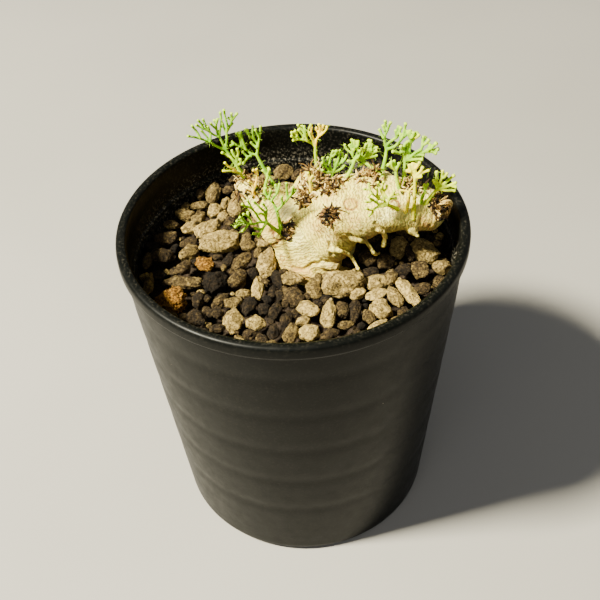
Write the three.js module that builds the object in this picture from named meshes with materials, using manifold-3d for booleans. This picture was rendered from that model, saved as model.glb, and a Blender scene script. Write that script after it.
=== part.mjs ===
// A small caudex plant, a monsonia hybrid, in a round black plastic pot filled with gravelly mix.
// The stem is a pale swollen body lying just above the stones, with tufts of dry leaf stalks and finely cut leaves.
// Millimetres, +Z up, the origin under the middle of the pot on the surface that it stands on.
import * as THREE from "three";
import { mergeVertices } from "three/addons/utils/BufferGeometryUtils.js";
import Module from "manifold-3d";

const wasm = await Module();
wasm.setup();

// The pot: a tapered wall with faint moulded rings, a rolled rim and a ring foot.
const POT = {
  rimRadius: 37.5,
  mouthRadius: 35.3,
  height: 80,
  baseRadius: 31,
  shoulderRadius: 36.8,
  rimDepth: 3.4,
  wall: 1.3,
  ledgeHeight: 71,
  ledgeStep: 0.5,
  floorTop: 2.8,
  footInner: 27.4,
  footOuter: 30.2,
  footRise: 1.4,
  ringPitch: 12.4,
  ringTop: 69.8,
  ringDepth: 0.22,
  ringCount: 5,
  sides: 40,
};
const DRAIN = { count: 6, circleRadius: 18, holeRadius: 2.4, sides: 8 };

// The gravel: a bed up to the soil line, with its top stones standing out of it.
const SOIL_LINE = 69;
const GAP = 0.35;
const PLANT_GAP = 0.48;
const BED = {
  top: -2.1,
  floor: -4.5,
  level: 1.9,
  shown: -0.4,
  reach: 33.6,
  close: 0.95,
  smallest: 1.5,
  spread: 1.8,
  favourSmall: 1.7,
  tries: 60,
  patience: 300,
  blockBelow: 2.3,
  blockFill: 1.4,
  leanLaid: 0.3,
  leanLoose: 0.7,
  seed: 7,
};
// Where the stem comes up through the bed: x, y, height and radius.
const CROWN = [3.7, 1.6, 0, 7.4];

// The stones that show: middle on the bed, its height, half length, half width, half height, and turn in degrees.
const LAID_STONES = [
  [10, -9.5, 0.5, 4.8, 3.5, 2.4, 5],
  [-26.5, -11.7, 0.5, 3.7, 3.6, 2.5, 162],
  [-16.7, 6.1, 0.5, 4.9, 2.7, 2, 14],
  [28.7, -0.4, 0.5, 4.5, 2.8, 2.2, 112],
  [-6.1, -1.2, 0.3, 4.4, 2.2, 1.8, 80],
  [-17.2, -5.8, 0, 3.3, 2.8, 2.1, 61],
  [-12.8, 18.6, 0.6, 4, 2.3, 1.8, 82],
  [23.5, -13, 0.4, 4.8, 1.7, 1.4, 110],
  [-19.4, 11.4, 0.6, 3.3, 2.6, 1.9, 34],
  [-24.2, -6.2, 0.4, 4.6, 1.8, 1.3, 168],
  [23.2, 1.6, 0.3, 3.6, 2.1, 1.7, 66],
  [-13.2, -18.6, 0.6, 3.2, 2.3, 1.9, 84],
  [-29.2, 3, 0.3, 3, 2.4, 1.7, 173],
  [6.4, -18.1, 0.4, 3.9, 1.7, 1.4, 81],
  [-1.5, 32, 0.3, 2.8, 2.5, 1.8, 37],
  [-18.6, 25.2, 0.3, 3.5, 2, 1.6, 82],
  [-11.6, -0.4, 0.4, 3.5, 1.8, 1.4, 55],
  [-0.8, -12.6, 0.3, 2.9, 2.2, 1.6, 131],
  [17.2, -9.2, 0.3, 2.6, 2.3, 1.6, 5],
  [-28.9, 9.3, 0.3, 2.9, 2.1, 1.5, 174],
  [-12.4, -5.9, 0.3, 2.9, 2, 1.6, 68],
  [16, -1.4, 0.3, 2.5, 2.3, 1.7, 92],
  [17.4, -17.5, 0.3, 2.6, 2.3, 1.6, 171],
  [26.8, -6.6, 0.3, 2.6, 2.1, 1.7, 80],
  [2.1, -23.2, 0.3, 2.5, 2.3, 1.7, 93],
  [-19.7, -0.5, 0.3, 2.8, 2, 1.6, 116],
  [2.2, -16.3, 0.3, 2.7, 2.1, 1.5, 138],
  [11.8, -17.7, 0.4, 3.6, 1.4, 1.2, 84],
  [20.5, -14.4, 0.4, 3.3, 1.6, 1.3, 107],
  [-0.6, -6.9, 0.4, 2.6, 2, 1.4, 174],
  [-8.2, -9.1, 0.4, 3.5, 1.5, 1.2, 86],
  [-23.4, 3.6, 0.4, 2.8, 1.9, 1.4, 36],
  [-16.1, -12.5, 0.4, 3.2, 1.4, 1.1, 67],
  [3.6, -10.7, 0.4, 2.8, 1.7, 1.4, 99],
  [-10.1, -14.2, -0.1, 2.8, 1.6, 1.3, 69],
  [31.6, -5.8, 0.4, 2.2, 2.1, 1.5, 151],
  [-31.6, -6.1, 0.4, 3.4, 1.2, 1, 84],
  [-1.7, -23.2, 0.4, 2.8, 1.6, 1.3, 76],
  [2.3, 30.3, 0.3, 2.2, 2, 1.5, 95],
  [-20.8, -17.1, 0.4, 2.2, 2, 1.4, 171],
  [-23.5, 12.4, 0.4, 2.4, 1.9, 1.4, 48],
  [9.4, -16.9, 0.4, 3, 1.4, 1.2, 94],
  [-24.3, -1, 0.4, 2.6, 1.7, 1.3, 71],
  [19.5, -3.1, 0.4, 2.1, 2, 1.4, 132],
  [-2.5, -19.5, 0.4, 2.9, 1.4, 1.1, 76],
  [-8.6, -19.7, 0.4, 2.2, 1.9, 1.3, 160],
  [20.4, -8.1, 0.4, 2.8, 1.5, 1.2, 75],
  [-18, 18.2, 0.4, 2.2, 1.8, 1.4, 57],
  [-3.9, -6.3, -0.1, 2.9, 1.3, 1.1, 104],
  [-16.2, 15.3, 0.4, 2.9, 1.3, 1.1, 75],
  [16.8, -13.5, 0.4, 2.6, 1.5, 1.1, 8],
  [-4.6, -16.4, 0.4, 2.6, 1.4, 1.1, 72],
  [-25.1, 17.5, 0.4, 2.3, 1.6, 1.2, 165],
  [-20.8, -11.8, 0.4, 2.6, 1.3, 1.1, 82],
  [-32.5, 1.6, 0.4, 2.7, 1.2, 1, 88],
  [26.5, -12.3, 0.4, 1.9, 1.8, 1.3, 162],
  [-23.6, 6.9, 0.4, 2.1, 1.7, 1.2, 4],
  [12.9, -12.4, 0.4, 2, 1.7, 1.3, 59],
  [-1.1, 25.9, 0.4, 2.2, 1.6, 1.1, 174],
  [6.1, -23.9, 0.4, 2.4, 1.4, 1, 27],
  [-10.2, 4.7, 0.4, 1.9, 1.7, 1.2, 171],
  [25.4, -0.7, 0.4, 2.6, 1.2, 1, 88],
  [18.4, 2, 0.4, 1.9, 1.7, 1.2, 171],
  [-14.7, 1, -0.1, 2.3, 1.4, 1.1, 69],
  [14.5, -19.7, 0.4, 2.4, 1.3, 1, 107],
  [-21.9, 20.6, 0.4, 2.3, 1.4, 1, 175],
  [-5.2, -22.2, -0.1, 2.2, 1.3, 1.1, 82],
  [15.7, -22.4, 0.4, 2.9, 1, 0.7, 33],
  [23.2, -6.2, 0.4, 1.8, 1.6, 1.1, 171],
  [-13.3, -13.3, 0.4, 2, 1.5, 1, 12],
  [-29.9, -2.9, -0.1, 1.9, 1.5, 1.1, 173],
  [-27.8, 13.8, 0.4, 2.1, 1.4, 1, 174],
  [16.1, -5.8, 0.4, 2, 1.4, 1, 174],
  [11.6, -2.5, 0.4, 1.8, 1.5, 1.1, 172],
  [30.5, -10.5, 0.4, 1.6, 1.6, 1.1, 101],
  [-10.6, 7.6, 0.4, 1.6, 1.6, 1.1, 137],
  [-14.6, 13.7, 0.4, 1.6, 1.5, 1.1, 94],
  [-6.9, -15.1, -0.1, 1.6, 1.5, 1.1, 122],
  [-9.2, -3.7, -0.1, 1.6, 1.5, 1.1, 28],
  [-16.7, -16, 0.4, 1.6, 1.5, 1.1, 156],
  [22, 4.4, 0.4, 1.9, 1.3, 0.9, 174],
  [-15.7, 20.9, 0.4, 2.4, 1, 0.8, 78],
  [-21.6, 25, 0.4, 2.1, 1.1, 0.9, 85],
  [-3.4, -11.6, 0.4, 1.8, 1.2, 1, 83],
  [-11.3, -10.7, 0.4, 1.6, 1.4, 1, 22],
  [-12.8, 23.8, 0.4, 1.6, 1.4, 1, 19],
  [1, -19.9, 0.4, 1.8, 1.2, 0.9, 25],
  [-16.6, -20.4, 0.4, 1.7, 1.2, 0.9, 174],
  [-15, 26, 0.4, 1.6, 1.3, 0.9, 173],
  [-10, -22.6, 0.4, 1.5, 1.3, 0.9, 172],
  [9.7, -21.7, 0.4, 1.8, 1.1, 0.8, 3],
  [-8, 2.4, 0.4, 1.7, 1, 0.8, 82],
  [-5.1, -10, -0.1, 1.8, 0.9, 0.7, 82],
];

// The stem as balls from the soil line up: x, y, z and radius. Each row is one limb.
const LIMBS = {
  crown: [
    [3.6, 1.5, -19, 2.2],
    [3.9, 1.5, -8, 6],
    [3.7, 1.6, -2.4, 7.6],
    [2, 3.2, 3.4, 6.6],
    [-0.8, 4.8, 6.8, 5.5],
    [-4.6, 6.4, 10, 4.4],
    [-8.8, 8.3, 13, 2.8],
  ],
  body: [
    [6.2, 2.2, -3, 6.2],
    [8.4, 3.2, 4.6, 5.8],
    [9.4, 3.4, 8.4, 6.2],
  ],
  arm_front: [
    [6.4, 2, 7.6, 6],
    [12, 0.4, 10.8, 5],
    [18, -0.2, 12.3, 4.6],
    [24, -0.5, 12.6, 4.3],
    [28.4, -0.9, 11.8, 3.8],
  ],
  arm_back: [
    [7.5, 6.6, 8, 6.4],
    [12.5, 5.4, 11.4, 5.4],
    [18, 4.1, 12.9, 4.8],
    [24, 2.7, 12.9, 4.2],
    [28, 1.2, 12, 3.6],
  ],
  back: [
    [4, 7.2, 7.8, 6.2],
    [5.2, 10.8, 11.2, 4],
  ],
};
// Low knobs on the stem where old shoots broke off: x, y, z and radius.
const KNOBS = [
  [-3.9, 1.6, 6.8, 2.6],
  [9.2, -1.4, 12, 3.2],
  [14.2, -2, 11, 3.2],
  [8.4, -1.8, 5.4, 3.4],
  [17.5, 5.8, 15.5, 2.6],
];
const STEM = { blend: 3, knobBlend: 2.6, cell: 1.85, waveHeight: 0.22 };

// Roots that grew in the air and dried: points from the stem outwards, and the radius at each.
const AIR_ROOTS = [
  {
    points: [[7.6, -4.3, 6.3], [8, -5.4, 6.7], [9.9, -5.8, 6.6], [12.1, -4.9, 4], [13.5, -6.3, 1.6]],
    radii: [0.5, 0.42, 0.38, 0.36, 0.36],
  },
  {
    points: [[12.3, -4.4, 9], [12.4, -5.5, 9.4], [13.9, -5.9, 9.2], [16.1, -5.2, 6.7], [18.4, -3.3, 3.2]],
    radii: [0.5, 0.42, 0.38, 0.36, 0.36],
  },
  {
    points: [[17.6, -4, 10.8], [17.8, -4.9, 10.9], [18.8, -4.7, 10], [19.4, -3.9, 8], [19.1, -4, 6]],
    radii: [0.5, 0.45, 0.42, 0.4, 0.42],
  },
  { points: [[25.1, -3, 9.2], [25, -4, 9.9], [26.1, -5, 8.8]], radii: [1.15, 1, 0.36] },
  { points: [[5, -3, 1.6], [6.4, -4.4, 2], [7.8, -5, 1.8], [8.9, -4.9, 1.3]], radii: [1.3, 1.1, 0.95, 0.8] },
  { points: [[1.6, -3.2, -0.4], [2.4, -4.8, 0.1], [3.6, -5.9, 0.2], [4.8, -6.6, -0.1]], radii: [1.2, 0.85, 0.55, 0.36] },
];

// The leaves: where each leaves the stem, where it divides, the way that it points and its upper side's way. Its
// twigs are lines of points laid flat, the fork at 0, 0 and +Y along its aim; stout is how thick they are.
const LEAVES = [
  {
    name: "leaf_left_tall",
    root: [-9.7, 9.5, 15.4],
    node: [-13.2, 10.9, 22.2],
    aim: [-0.59, 0.14, 0.79],
    face: [0.29, -0.88, 0.37],
    twigs: [
      [[0, 0], [-0.8, 1.7], [-1.4, 3.8], [-2.3, 5.8], [-3.2, 7.4], [-3.9, 8.5]],
      [[-2.3, 5.9], [-1.9, 7.4], [-1.8, 9.3]],
      [[-1.4, 3.9], [-1.1, 5.1], [-1, 6.9]],
      [[-1.4, 3.8], [-0.1, 5.1], [0.6, 6.7]],
      [[0, 0], [0.4, 1.4], [0.8, 2.8], [1, 3.7], [1.6, 4.8], [2.2, 5.7], [2.4, 6.7]],
      [[2.2, 5.7], [3.1, 6.5]],
      [[1.5, 4.7], [1.4, 5.8], [1.4, 6.7]],
      [[0.8, 3.1], [0.3, 4.3], [0.1, 5.3], [-0.2, 6.3], [-0.7, 7.6], [-1, 8.7]],
      [[0, 5.7], [0.4, 7.2], [0.8, 8.6]],
      [[-0.4, 6.8], [-0.1, 8], [-0.1, 9.2]],
      [[0.8, 2.9], [1.9, 4], [3.1, 5.2], [4.4, 7.1]],
      [[0, 0], [1.3, 1.4], [2.4, 2.7], [3.4, 3.7], [4, 4.9], [4.6, 6.1], [5.2, 7.2]],
      [[2.5, 2.8], [2.8, 3.9], [3.2, 5.1]],
      [[2.6, 2.9], [3.4, 3.2], [4.3, 3.8], [5.1, 4.5], [5.9, 5.5]],
      [[4.9, 4.4], [4.8, 5.2]],
      [[4.7, 4.2], [5.5, 4.3], [6.7, 4.7]],
      [[3.8, 3.4], [4.8, 3.6]],
    ],
    seed: 11,
  },
  {
    name: "leaf_left_middle",
    root: [-9.3, 9, 15.7],
    node: [-11.2, 9.6, 19.1],
    aim: [-0.19, 0.26, 0.95],
    face: [-0.13, -0.96, 0.23],
    twigs: [
      [[0, 0], [-0.3, 1.2], [-0.7, 2], [-1.3, 2.6], [-2.1, 3.6]],
      [[0, 0], [0.4, 0.8], [0.5, 1.7], [0.1, 2.6], [0, 3.6]],
      [[0.5, 1.4], [1.2, 2.7], [1.2, 3.7]],
      [[0, 0], [1.1, 0.3], [1.2, 1.3]],
    ],
    seed: 12,
  },
  {
    name: "leaf_left_low",
    root: [-9.5, 9.4, 15.5],
    node: [-10.6, 9.1, 17.6],
    aim: [-0.88, -0.44, 0.18],
    face: [0.48, -0.82, 0.31],
    twigs: [
      [[0, 0], [0.2, 1.2], [0.7, 2.4], [1, 4.2]],
      [[0.2, 0.9], [1, 1.5], [1.6, 2.6], [2.3, 3.4], [2.9, 3.9]],
    ],
    seed: 13,
  },
  {
    name: "leaf_left_inner",
    root: [-3.4, 8.8, 13.6],
    node: [-6.8, 11.6, 20],
    aim: [0.16, 0.35, 0.92],
    face: [-0.25, -0.89, 0.38],
    twigs: [
      [[0, 0], [0.1, 1.7], [0.2, 3], [0.3, 4.3], [0.4, 5.6], [0.4, 6.5]],
      [[0.3, 4], [-0.3, 5.3], [-0.5, 5.7]],
      [[0.2, 1.9], [-0.9, 3.2], [-1.6, 3.8], [-2.3, 4.6], [-2.9, 5.4]],
      [[-2, 4.2], [-2.2, 5], [-2.3, 5.5]],
      [[-0.9, 3.2], [-1.1, 4.9], [-1.2, 6.4]],
      [[0.1, 1.5], [-0.9, 2], [-1.5, 2.6]],
      [[0, 0], [-1.4, 0.2], [-2.3, 0.9], [-3.3, 1.4], [-4.3, 1.8], [-5.4, 2.4]],
      [[-4.6, 2], [-5.5, 1.5]],
      [[-3.1, 1.3], [-3.5, 2.8], [-4, 3.8], [-4.5, 4.4]],
      [[-2.2, 0.8], [-2.8, 2.5], [-3.4, 3.9], [-3.7, 4.7]],
      [[-0.8, 0.1], [-1.8, -0.6], [-2.6, -0.1], [-3.1, 0.4]],
      [[-1.6, -0.5], [-2.2, -1.5], [-2.6, -2.2]],
    ],
    seed: 14,
  },
  {
    name: "leaf_left_yellow",
    root: [-7.7, 5.3, 14.2],
    node: [-7.7, 5.2, 15.8],
    aim: [0.13, 0.22, 0.97],
    face: [0.15, -0.97, 0.2],
    twigs: [
      [[0, 0], [0.3, 1.1], [0.5, 3], [0.1, 4.9]],
      [[0.5, 3.2], [0, 4.1], [-0.7, 4.8]],
      [[0, 0], [-0.6, 1.2], [-1.4, 1.9]],
    ],
    yellow: true,
    seed: 15,
  },
  {
    name: "leaf_left_bud",
    root: [-5.6, 4.3, 13.7],
    node: [-5, 5.4, 17.5],
    aim: [-0.23, 0.45, 0.86],
    face: [-0.33, -0.87, 0.37],
    twigs: [
      [[0, 0], [0.9, 1.3], [1.5, 2.7]],
      [[0.9, 1.4], [1.8, 2.4]],
      [[0.4, 0.6], [0.3, 1.6], [-0.1, 2.5]],
    ],
    seed: 16,
  },
  {
    name: "leaf_front_tall",
    root: [-2.5, -0.7, 8.7],
    node: [-3.1, -1.7, 15.1],
    aim: [0.1, 0.33, 0.94],
    face: [-0.21, -0.92, 0.35],
    twigs: [
      [[0, 0], [0.7, 0.8], [1.4, 1.7], [2, 2.5], [2.7, 3.5], [3.5, 4.4], [4.1, 5.5]],
      [[3.1, 4], [3.4, 5.1], [3.6, 6.1]],
      [[2.2, 2.7], [2.1, 3.9], [2, 5.2], [2, 6.5]],
      [[1.3, 1.5], [1.1, 2.6], [1.1, 3.5]],
      [[0, 0], [-0.5, 0.9], [-0.9, 1.7], [-1.5, 2.3], [-2.1, 2.8], [-2.4, 3.8], [-2.4, 4.8]],
      [[-1.2, 1.9], [-0.5, 3.2], [0.1, 4], [0.4, 5.2], [0.5, 6.1]],
      [[0, 4], [-0.1, 4.7], [-0.4, 5.7]],
      [[-1.8, 2.5], [-1.5, 3.4], [-1.3, 4.4]],
    ],
    seed: 17,
  },
  {
    name: "leaf_front_low",
    root: [-2.6, -0.9, 8.3],
    node: [-5.3, -2.4, 12.6],
    aim: [-0.09, 0.34, 0.93],
    face: [0.29, -0.89, 0.35],
    twigs: [
      [[0, 0], [-0.8, 0.3], [-1.8, 0.5], [-3, 0.7], [-4.4, 1.3], [-5.4, 2], [-6.9, 2.8]],
      [[-5.1, 1.8], [-6.4, 1.9], [-7.6, 2]],
      [[-3.5, 0.9], [-3.8, 2.2], [-4.4, 3.1], [-5.1, 3.7]],
      [[-4, 2.5], [-4, 3.2], [-3.9, 3.8]],
      [[-4.7, 1.5], [-5.3, 2.7], [-6.1, 3.4]],
      [[-4.3, 1.3], [-5, 0.6], [-6, 0.2]],
      [[0, 0], [-0.5, -0.4], [-1, -0.9], [-1.7, -1.6], [-2.5, -2.5]],
      [[-1.4, -1.2], [-2.3, -1.7], [-3.5, -1.3]],
      [[-1.2, -1.1], [-2.3, -0.8], [-3, -0.2]],
      [[0, 0], [-0.1, 1], [-0.3, 1.8], [-0.9, 2.3], [-1.8, 2.6]],
      [[-0.1, 0.8], [0.3, 2.2], [0.3, 3.2], [-0.5, 4.6]],
      [[0.3, 2], [-0.8, 3.3], [-1.7, 4.6], [-2.4, 5.6]],
      [[-1, 0.3], [-1.6, 1.4], [-2.3, 3], [-2.9, 4.3], [-3.6, 6.2]],
      [[-2.7, 3.8], [-3.4, 4.5], [-4.5, 5.3], [-5.1, 6]],
    ],
    seed: 18,
  },
  {
    name: "leaf_middle_high",
    root: [6.2, 12.5, 14.7],
    node: [5.9, 13.4, 20],
    aim: [-0.16, 0.42, 0.89],
    face: [0.07, -0.9, 0.44],
    twigs: [
      [[0, 0], [-0.5, 0.8], [-1.1, 1.3], [-1.7, 1.9], [-2.4, 2.2], [-3, 2.4], [-3.6, 2.5], [-4.5, 2.6]],
      [[-3.4, 2.4], [-3.9, 3], [-4.7, 3.7]],
      [[-3, 2.4], [-3.3, 3.1], [-3.7, 3.8], [-4.5, 4.4]],
      [[-3.4, 3.2], [-3.4, 3.9], [-3.7, 4.6]],
      [[-2.2, 2.1], [-2.3, 3.1], [-2.6, 3.8], [-2.9, 4.6]],
      [[-1.4, 1.6], [-1.6, 2.5], [-1.8, 3.2], [-1.9, 3.9], [-2.3, 4.7], [-2.8, 5.7]],
      [[-2, 4.1], [-2, 4.6], [-2, 5.2]],
      [[-1.7, 2.9], [-1.6, 4], [-1.5, 5]],
      [[-1.6, 2.6], [-1.3, 3.3], [-0.9, 3.9], [-0.4, 4.4], [0.1, 5]],
      [[0, 0], [-0.2, 1.2], [-0.5, 2.2], [-0.7, 3], [-0.6, 3.5]],
      [[-0.1, 0.5], [0, 1.5], [-0.1, 2.2], [-0.3, 3], [-0.2, 3.7], [0.1, 4.4]],
      [[0, 0], [0.3, 1], [0.6, 1.6], [1.1, 2], [1.7, 2.3], [2.4, 2.8], [3, 3.4], [3.2, 4]],
      [[1.9, 2.5], [2, 3.1], [2.2, 3.6], [2.6, 4.3]],
      [[1.1, 2], [1.3, 2.8], [1.6, 3.4], [1.7, 3.9], [1.6, 4.7]],
      [[1.3, 2.8], [1, 3.4], [1, 4]],
    ],
    seed: 19,
  },
  {
    name: "leaf_middle_bud",
    root: [4.3, 4.5, 14.4],
    node: [4.2, 4.4, 17.7],
    aim: [-0.17, 0.29, 0.94],
    face: [-0.04, -0.96, 0.29],
    twigs: [
      [[0, 0], [-0.1, 0.9], [0, 2]],
      [[0, 0], [0.4, 0.6], [0.9, 1.1]],
    ],
    yellow: true,
    seed: 20,
  },
  {
    name: "leaf_back_left",
    root: [8.4, 6.9, 15.5],
    node: [9.1, 7.5, 17.2],
    aim: [0.21, 0.43, 0.88],
    face: [0.25, -0.89, 0.37],
    twigs: [
      [[0, 0], [-1.4, 0.8], [-2.3, 2], [-3.1, 3.1]],
      [[-1.9, 1.4], [-1.6, 2.2], [-1.8, 3.3]],
      [[0, 0], [-0.7, 1.2], [-0.8, 2.3], [-0.9, 3.3], [-1, 4.1], [-0.9, 4.8]],
      [[-0.9, 3.4], [-0.3, 4.1], [-0.3, 5]],
      [[-1.4, 0.8], [-2.5, 1.4], [-3.1, 2.1]],
      [[0, 0], [0.4, 1.1], [0.5, 2.2], [0.6, 3.3], [0.5, 4.1], [0.4, 4.9]],
      [[0.5, 4.1], [0.9, 5]],
      [[0.4, 1.1], [0, 2.1], [0, 3.1]],
      [[0.4, 1.4], [1.2, 2.3], [1.5, 3.4], [1.4, 4.5]],
      [[1.3, 2.4], [1.9, 3.2], [2.2, 4.3]],
      [[0, 0], [1.1, 0.6], [1.8, 1.3], [2.2, 2.1]],
      [[0, 0], [-1.5, 0], [-2.7, 0.5]],
    ],
    seed: 21,
  },
  {
    name: "leaf_back_middle",
    root: [11.8, 5.4, 16.9],
    node: [13.9, 7.3, 20.3],
    aim: [0.1, 0.31, 0.95],
    face: [-0.32, -0.89, 0.32],
    twigs: [
      [[0, 0], [-0.6, 1], [-1.1, 1.6], [-1.8, 2], [-2.2, 2.5], [-2.4, 3.1]],
      [[-0.5, 0.8], [-0.5, 1.7], [-0.8, 2.4], [-1.4, 3.2]],
      [[-0.7, 2.2], [-0.7, 3.1], [-1, 4.4]],
      [[-0.5, 1.7], [-0.1, 2.6], [-0.2, 3.4], [-0.4, 4.4]],
      [[0, 0], [0.3, 1.3], [0.5, 2.4], [0.3, 3.5], [0.1, 4.3]],
      [[0.4, 2.9], [0.7, 3.8], [0.6, 4.5]],
      [[0, 0], [-0.8, -0.4], [-1.5, -0.3]],
      [[0, 0], [0.9, 1], [1.1, 1.9], [1, 2.4]],
    ],
    seed: 22,
  },
  {
    name: "leaf_back_right",
    root: [18.7, 4.7, 18.3],
    node: [15.8, 8.1, 19.2],
    aim: [0.34, 0.45, 0.83],
    face: [0.08, -0.89, 0.45],
    twigs: [
      [[0, 0], [-0.6, 0.8], [-0.8, 1.6], [-0.6, 2.4], [-0.7, 3.1], [-0.6, 3.8]],
      [[-0.7, 2.1], [-1, 2.3], [-1.4, 2.6]],
      [[0, 0], [-0.1, 0.9], [0.1, 1.8], [0.2, 2.6], [0.1, 3.4], [-0.4, 4.7]],
      [[0.1, 3.2], [0.2, 3.9], [0.1, 4.8]],
      [[-0.1, 1.1], [0.6, 1.6], [0.8, 2.4], [1.1, 3], [1.3, 3.4], [1.9, 3.7]],
      [[0.9, 2.5], [0.6, 3.2], [0.5, 4.1]],
      [[0.6, 1.6], [1.2, 2.1], [1.5, 2.5], [2, 3]],
      [[-0.1, 0.7], [0.8, 1.2], [1.5, 1.6], [2.3, 2.1]],
      [[0, 0], [-0.8, 0.2], [-1.4, 0]],
      [[0, 0], [-0.3, -0.7], [-0.9, -1]],
    ],
    seed: 23,
  },
  {
    name: "leaf_right_upright",
    root: [19.1, 4.5, 18.1],
    node: [20.5, 7.2, 22.6],
    aim: [-0.05, 0.38, 0.92],
    face: [-0.42, -0.85, 0.33],
    stout: 1.12,
    twigs: [
      [[0, 0], [-0.2, 1.2], [-0.1, 2.4], [0.1, 3.7], [0.2, 5], [0.3, 6.1]],
      [[0.1, 3.9], [-0.2, 4.5], [-0.3, 5.2]],
      [[0, 3.1], [0.6, 4.1], [1.1, 5], [1.7, 5.9]],
      [[-0.1, 2.4], [-0.6, 3.3], [-0.9, 4], [-1.1, 4.4]],
      [[-0.1, 0.6], [0.8, 1.5], [1.7, 2.1], [2.5, 2.5], [3, 3.4], [3, 4.2], [3.4, 5.1]],
      [[2.9, 3.2], [3.5, 3.9], [4, 4.9]],
      [[2.4, 2.4], [2.5, 3.4], [2.6, 4.2]],
      [[0, 0], [1.3, 0.4], [2.3, 0.9], [3.3, 1.8], [4, 2.5], [4.5, 3.5], [4.7, 4.3], [5.2, 5.8]],
      [[4, 2.5], [5.1, 3.4], [5.5, 4.2]],
      [[3.8, 2.3], [3.8, 3], [3.8, 3.6]],
    ],
    seed: 24,
  },
  {
    name: "leaf_right_tall",
    root: [23.2, 1, 17.5],
    node: [23.8, 2.9, 22.6],
    aim: [0.2, 0.42, 0.88],
    face: [0.07, -0.91, 0.42],
    stout: 1.22,
    twigs: [
      [[0, 0], [0.4, 0.9], [0.6, 2], [0.6, 3], [0.3, 4.2], [0, 5.4], [-0.3, 6.3]],
      [[0.2, 4.6], [0.5, 5.4], [0.4, 6.1]],
      [[0.5, 3.6], [0.9, 4.5], [1, 5.3], [1.1, 6.2]],
      [[0.9, 4.9], [1.4, 5.3], [1.6, 5.8]],
      [[0.3, 4.4], [-0.3, 5.2], [-0.6, 5.8]],
      [[0.1, 0.2], [0.9, 0.8], [1.5, 1.6], [2.1, 2.3], [2.6, 2.9], [2.7, 3.8], [2.6, 4.6], [2.6, 5.5]],
      [[2.6, 4.4], [3, 4.9], [3.2, 5.5]],
      [[2.7, 3.7], [3.3, 4.2], [3.8, 5.1]],
      [[2.1, 2.2], [3.1, 2.3], [3.8, 2.9], [4.1, 3.5], [4.2, 4.2]],
      [[3.8, 3], [4.5, 3.4], [4.8, 4], [5.2, 4.7]],
      [[3.2, 2.5], [4.2, 2.6], [4.9, 2.9], [5.4, 3.2], [6, 3.5]],
      [[4.5, 2.8], [5.1, 2.7], [5.7, 2.5]],
      [[1.1, 1], [2, 1.4], [2.8, 1.7], [3.5, 1.8]],
      [[0, 0], [1.5, 0.4], [2.5, 0.7], [3.4, 0.8]],
      [[0, 0], [-0.5, 1.2], [-0.8, 2.4], [-0.6, 3.4], [-0.1, 3.9]],
      [[-0.7, 2], [-1.4, 2.6], [-1.7, 3]],
      [[-0.3, 0.7], [0, 1.9], [0, 2.7], [-0.3, 3.3]],
      [[-0.7, 2], [-1.6, 1.4], [-2.3, 1.6], [-3.2, 1.6]],
    ],
    seed: 25,
  },
  {
    name: "leaf_right_small",
    root: [22.5, 0.2, 17.4],
    node: [21.8, 1.1, 21.2],
    aim: [-0.55, 0.16, 0.82],
    face: [0.21, -0.92, 0.32],
    stout: 1.1,
    twigs: [
      [[0, 0], [0.2, 0.9], [0.6, 1.6], [1.1, 2.2]],
      [[0.1, 0.4], [0, 1.6], [0.4, 2.6]],
      [[0.1, 0.7], [-0.3, 1.7], [-0.5, 2.5]],
      [[0, 0], [0.6, 0.6], [1.1, 0.9], [1.5, 1.4]],
    ],
    seed: 26,
  },
  {
    name: "leaf_right_yellow",
    root: [25, -4.3, 14.2],
    node: [25.1, -2.9, 22.4],
    aim: [0.16, 0.43, 0.89],
    face: [-0.31, -0.83, 0.46],
    stout: 1.1,
    twigs: [
      [[0, 0], [-0.6, 0.9], [-1.2, 1.6], [-1.5, 2.5]],
      [[-0.8, 1.2], [-1.3, 1.1], [-1.8, 1.3]],
      [[0, 0], [-0.1, 1.2], [-0.2, 2], [-0.1, 2.8]],
      [[-0.1, 1.8], [0.3, 2.5], [0.6, 3.3]],
      [[-0.1, 1.4], [-0.6, 2], [-0.8, 2.9]],
      [[0, 0], [0.6, 0.9], [1, 1.5], [1.3, 2.4]],
      [[0.3, 0.6], [1.1, 1.1], [1.9, 1.5], [2.6, 1.9]],
      [[0, 0], [0.7, 0.2], [1.4, 0.5]],
    ],
    yellow: true,
    seed: 27,
  },
  {
    name: "leaf_right_end",
    root: [27.8, -2.7, 15.6],
    node: [30.2, -1.4, 18.1],
    aim: [0.38, 0.32, 0.87],
    face: [0.06, -0.94, 0.32],
    stout: 1.15,
    twigs: [
      [[0, 0], [-0.7, 0.9], [-1.1, 2], [-1.5, 2.8], [-1.9, 3.5]],
      [[-0.6, 0.8], [-1.2, 1], [-1.7, 1.6]],
      [[0, 0], [-0.1, 1.1], [-0.1, 2], [-0.4, 3.1], [-0.8, 4.1]],
      [[-0.2, 2.5], [0.2, 3], [0.3, 3.9]],
      [[0, 0], [0.6, 1.1], [1.1, 2], [1.6, 2.8], [2.1, 3.8]],
      [[0.2, 0.3], [1.1, 0.9], [1.9, 1.7], [2.8, 2.7]],
      [[0, 0], [1.2, 0.2], [2.3, 0.6], [3.4, 0.9]],
      [[1.9, 1.7], [2.6, 1.7], [3.2, 1.8]],
    ],
    seed: 28,
  },
  {
    name: "leaf_over_arm",
    root: [21.7, -3.8, 15.3],
    node: [19.3, -5.8, 18.1],
    aim: [-0.25, 0.25, 0.94],
    face: [0.05, -0.96, 0.27],
    stout: 0.8,
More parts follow.
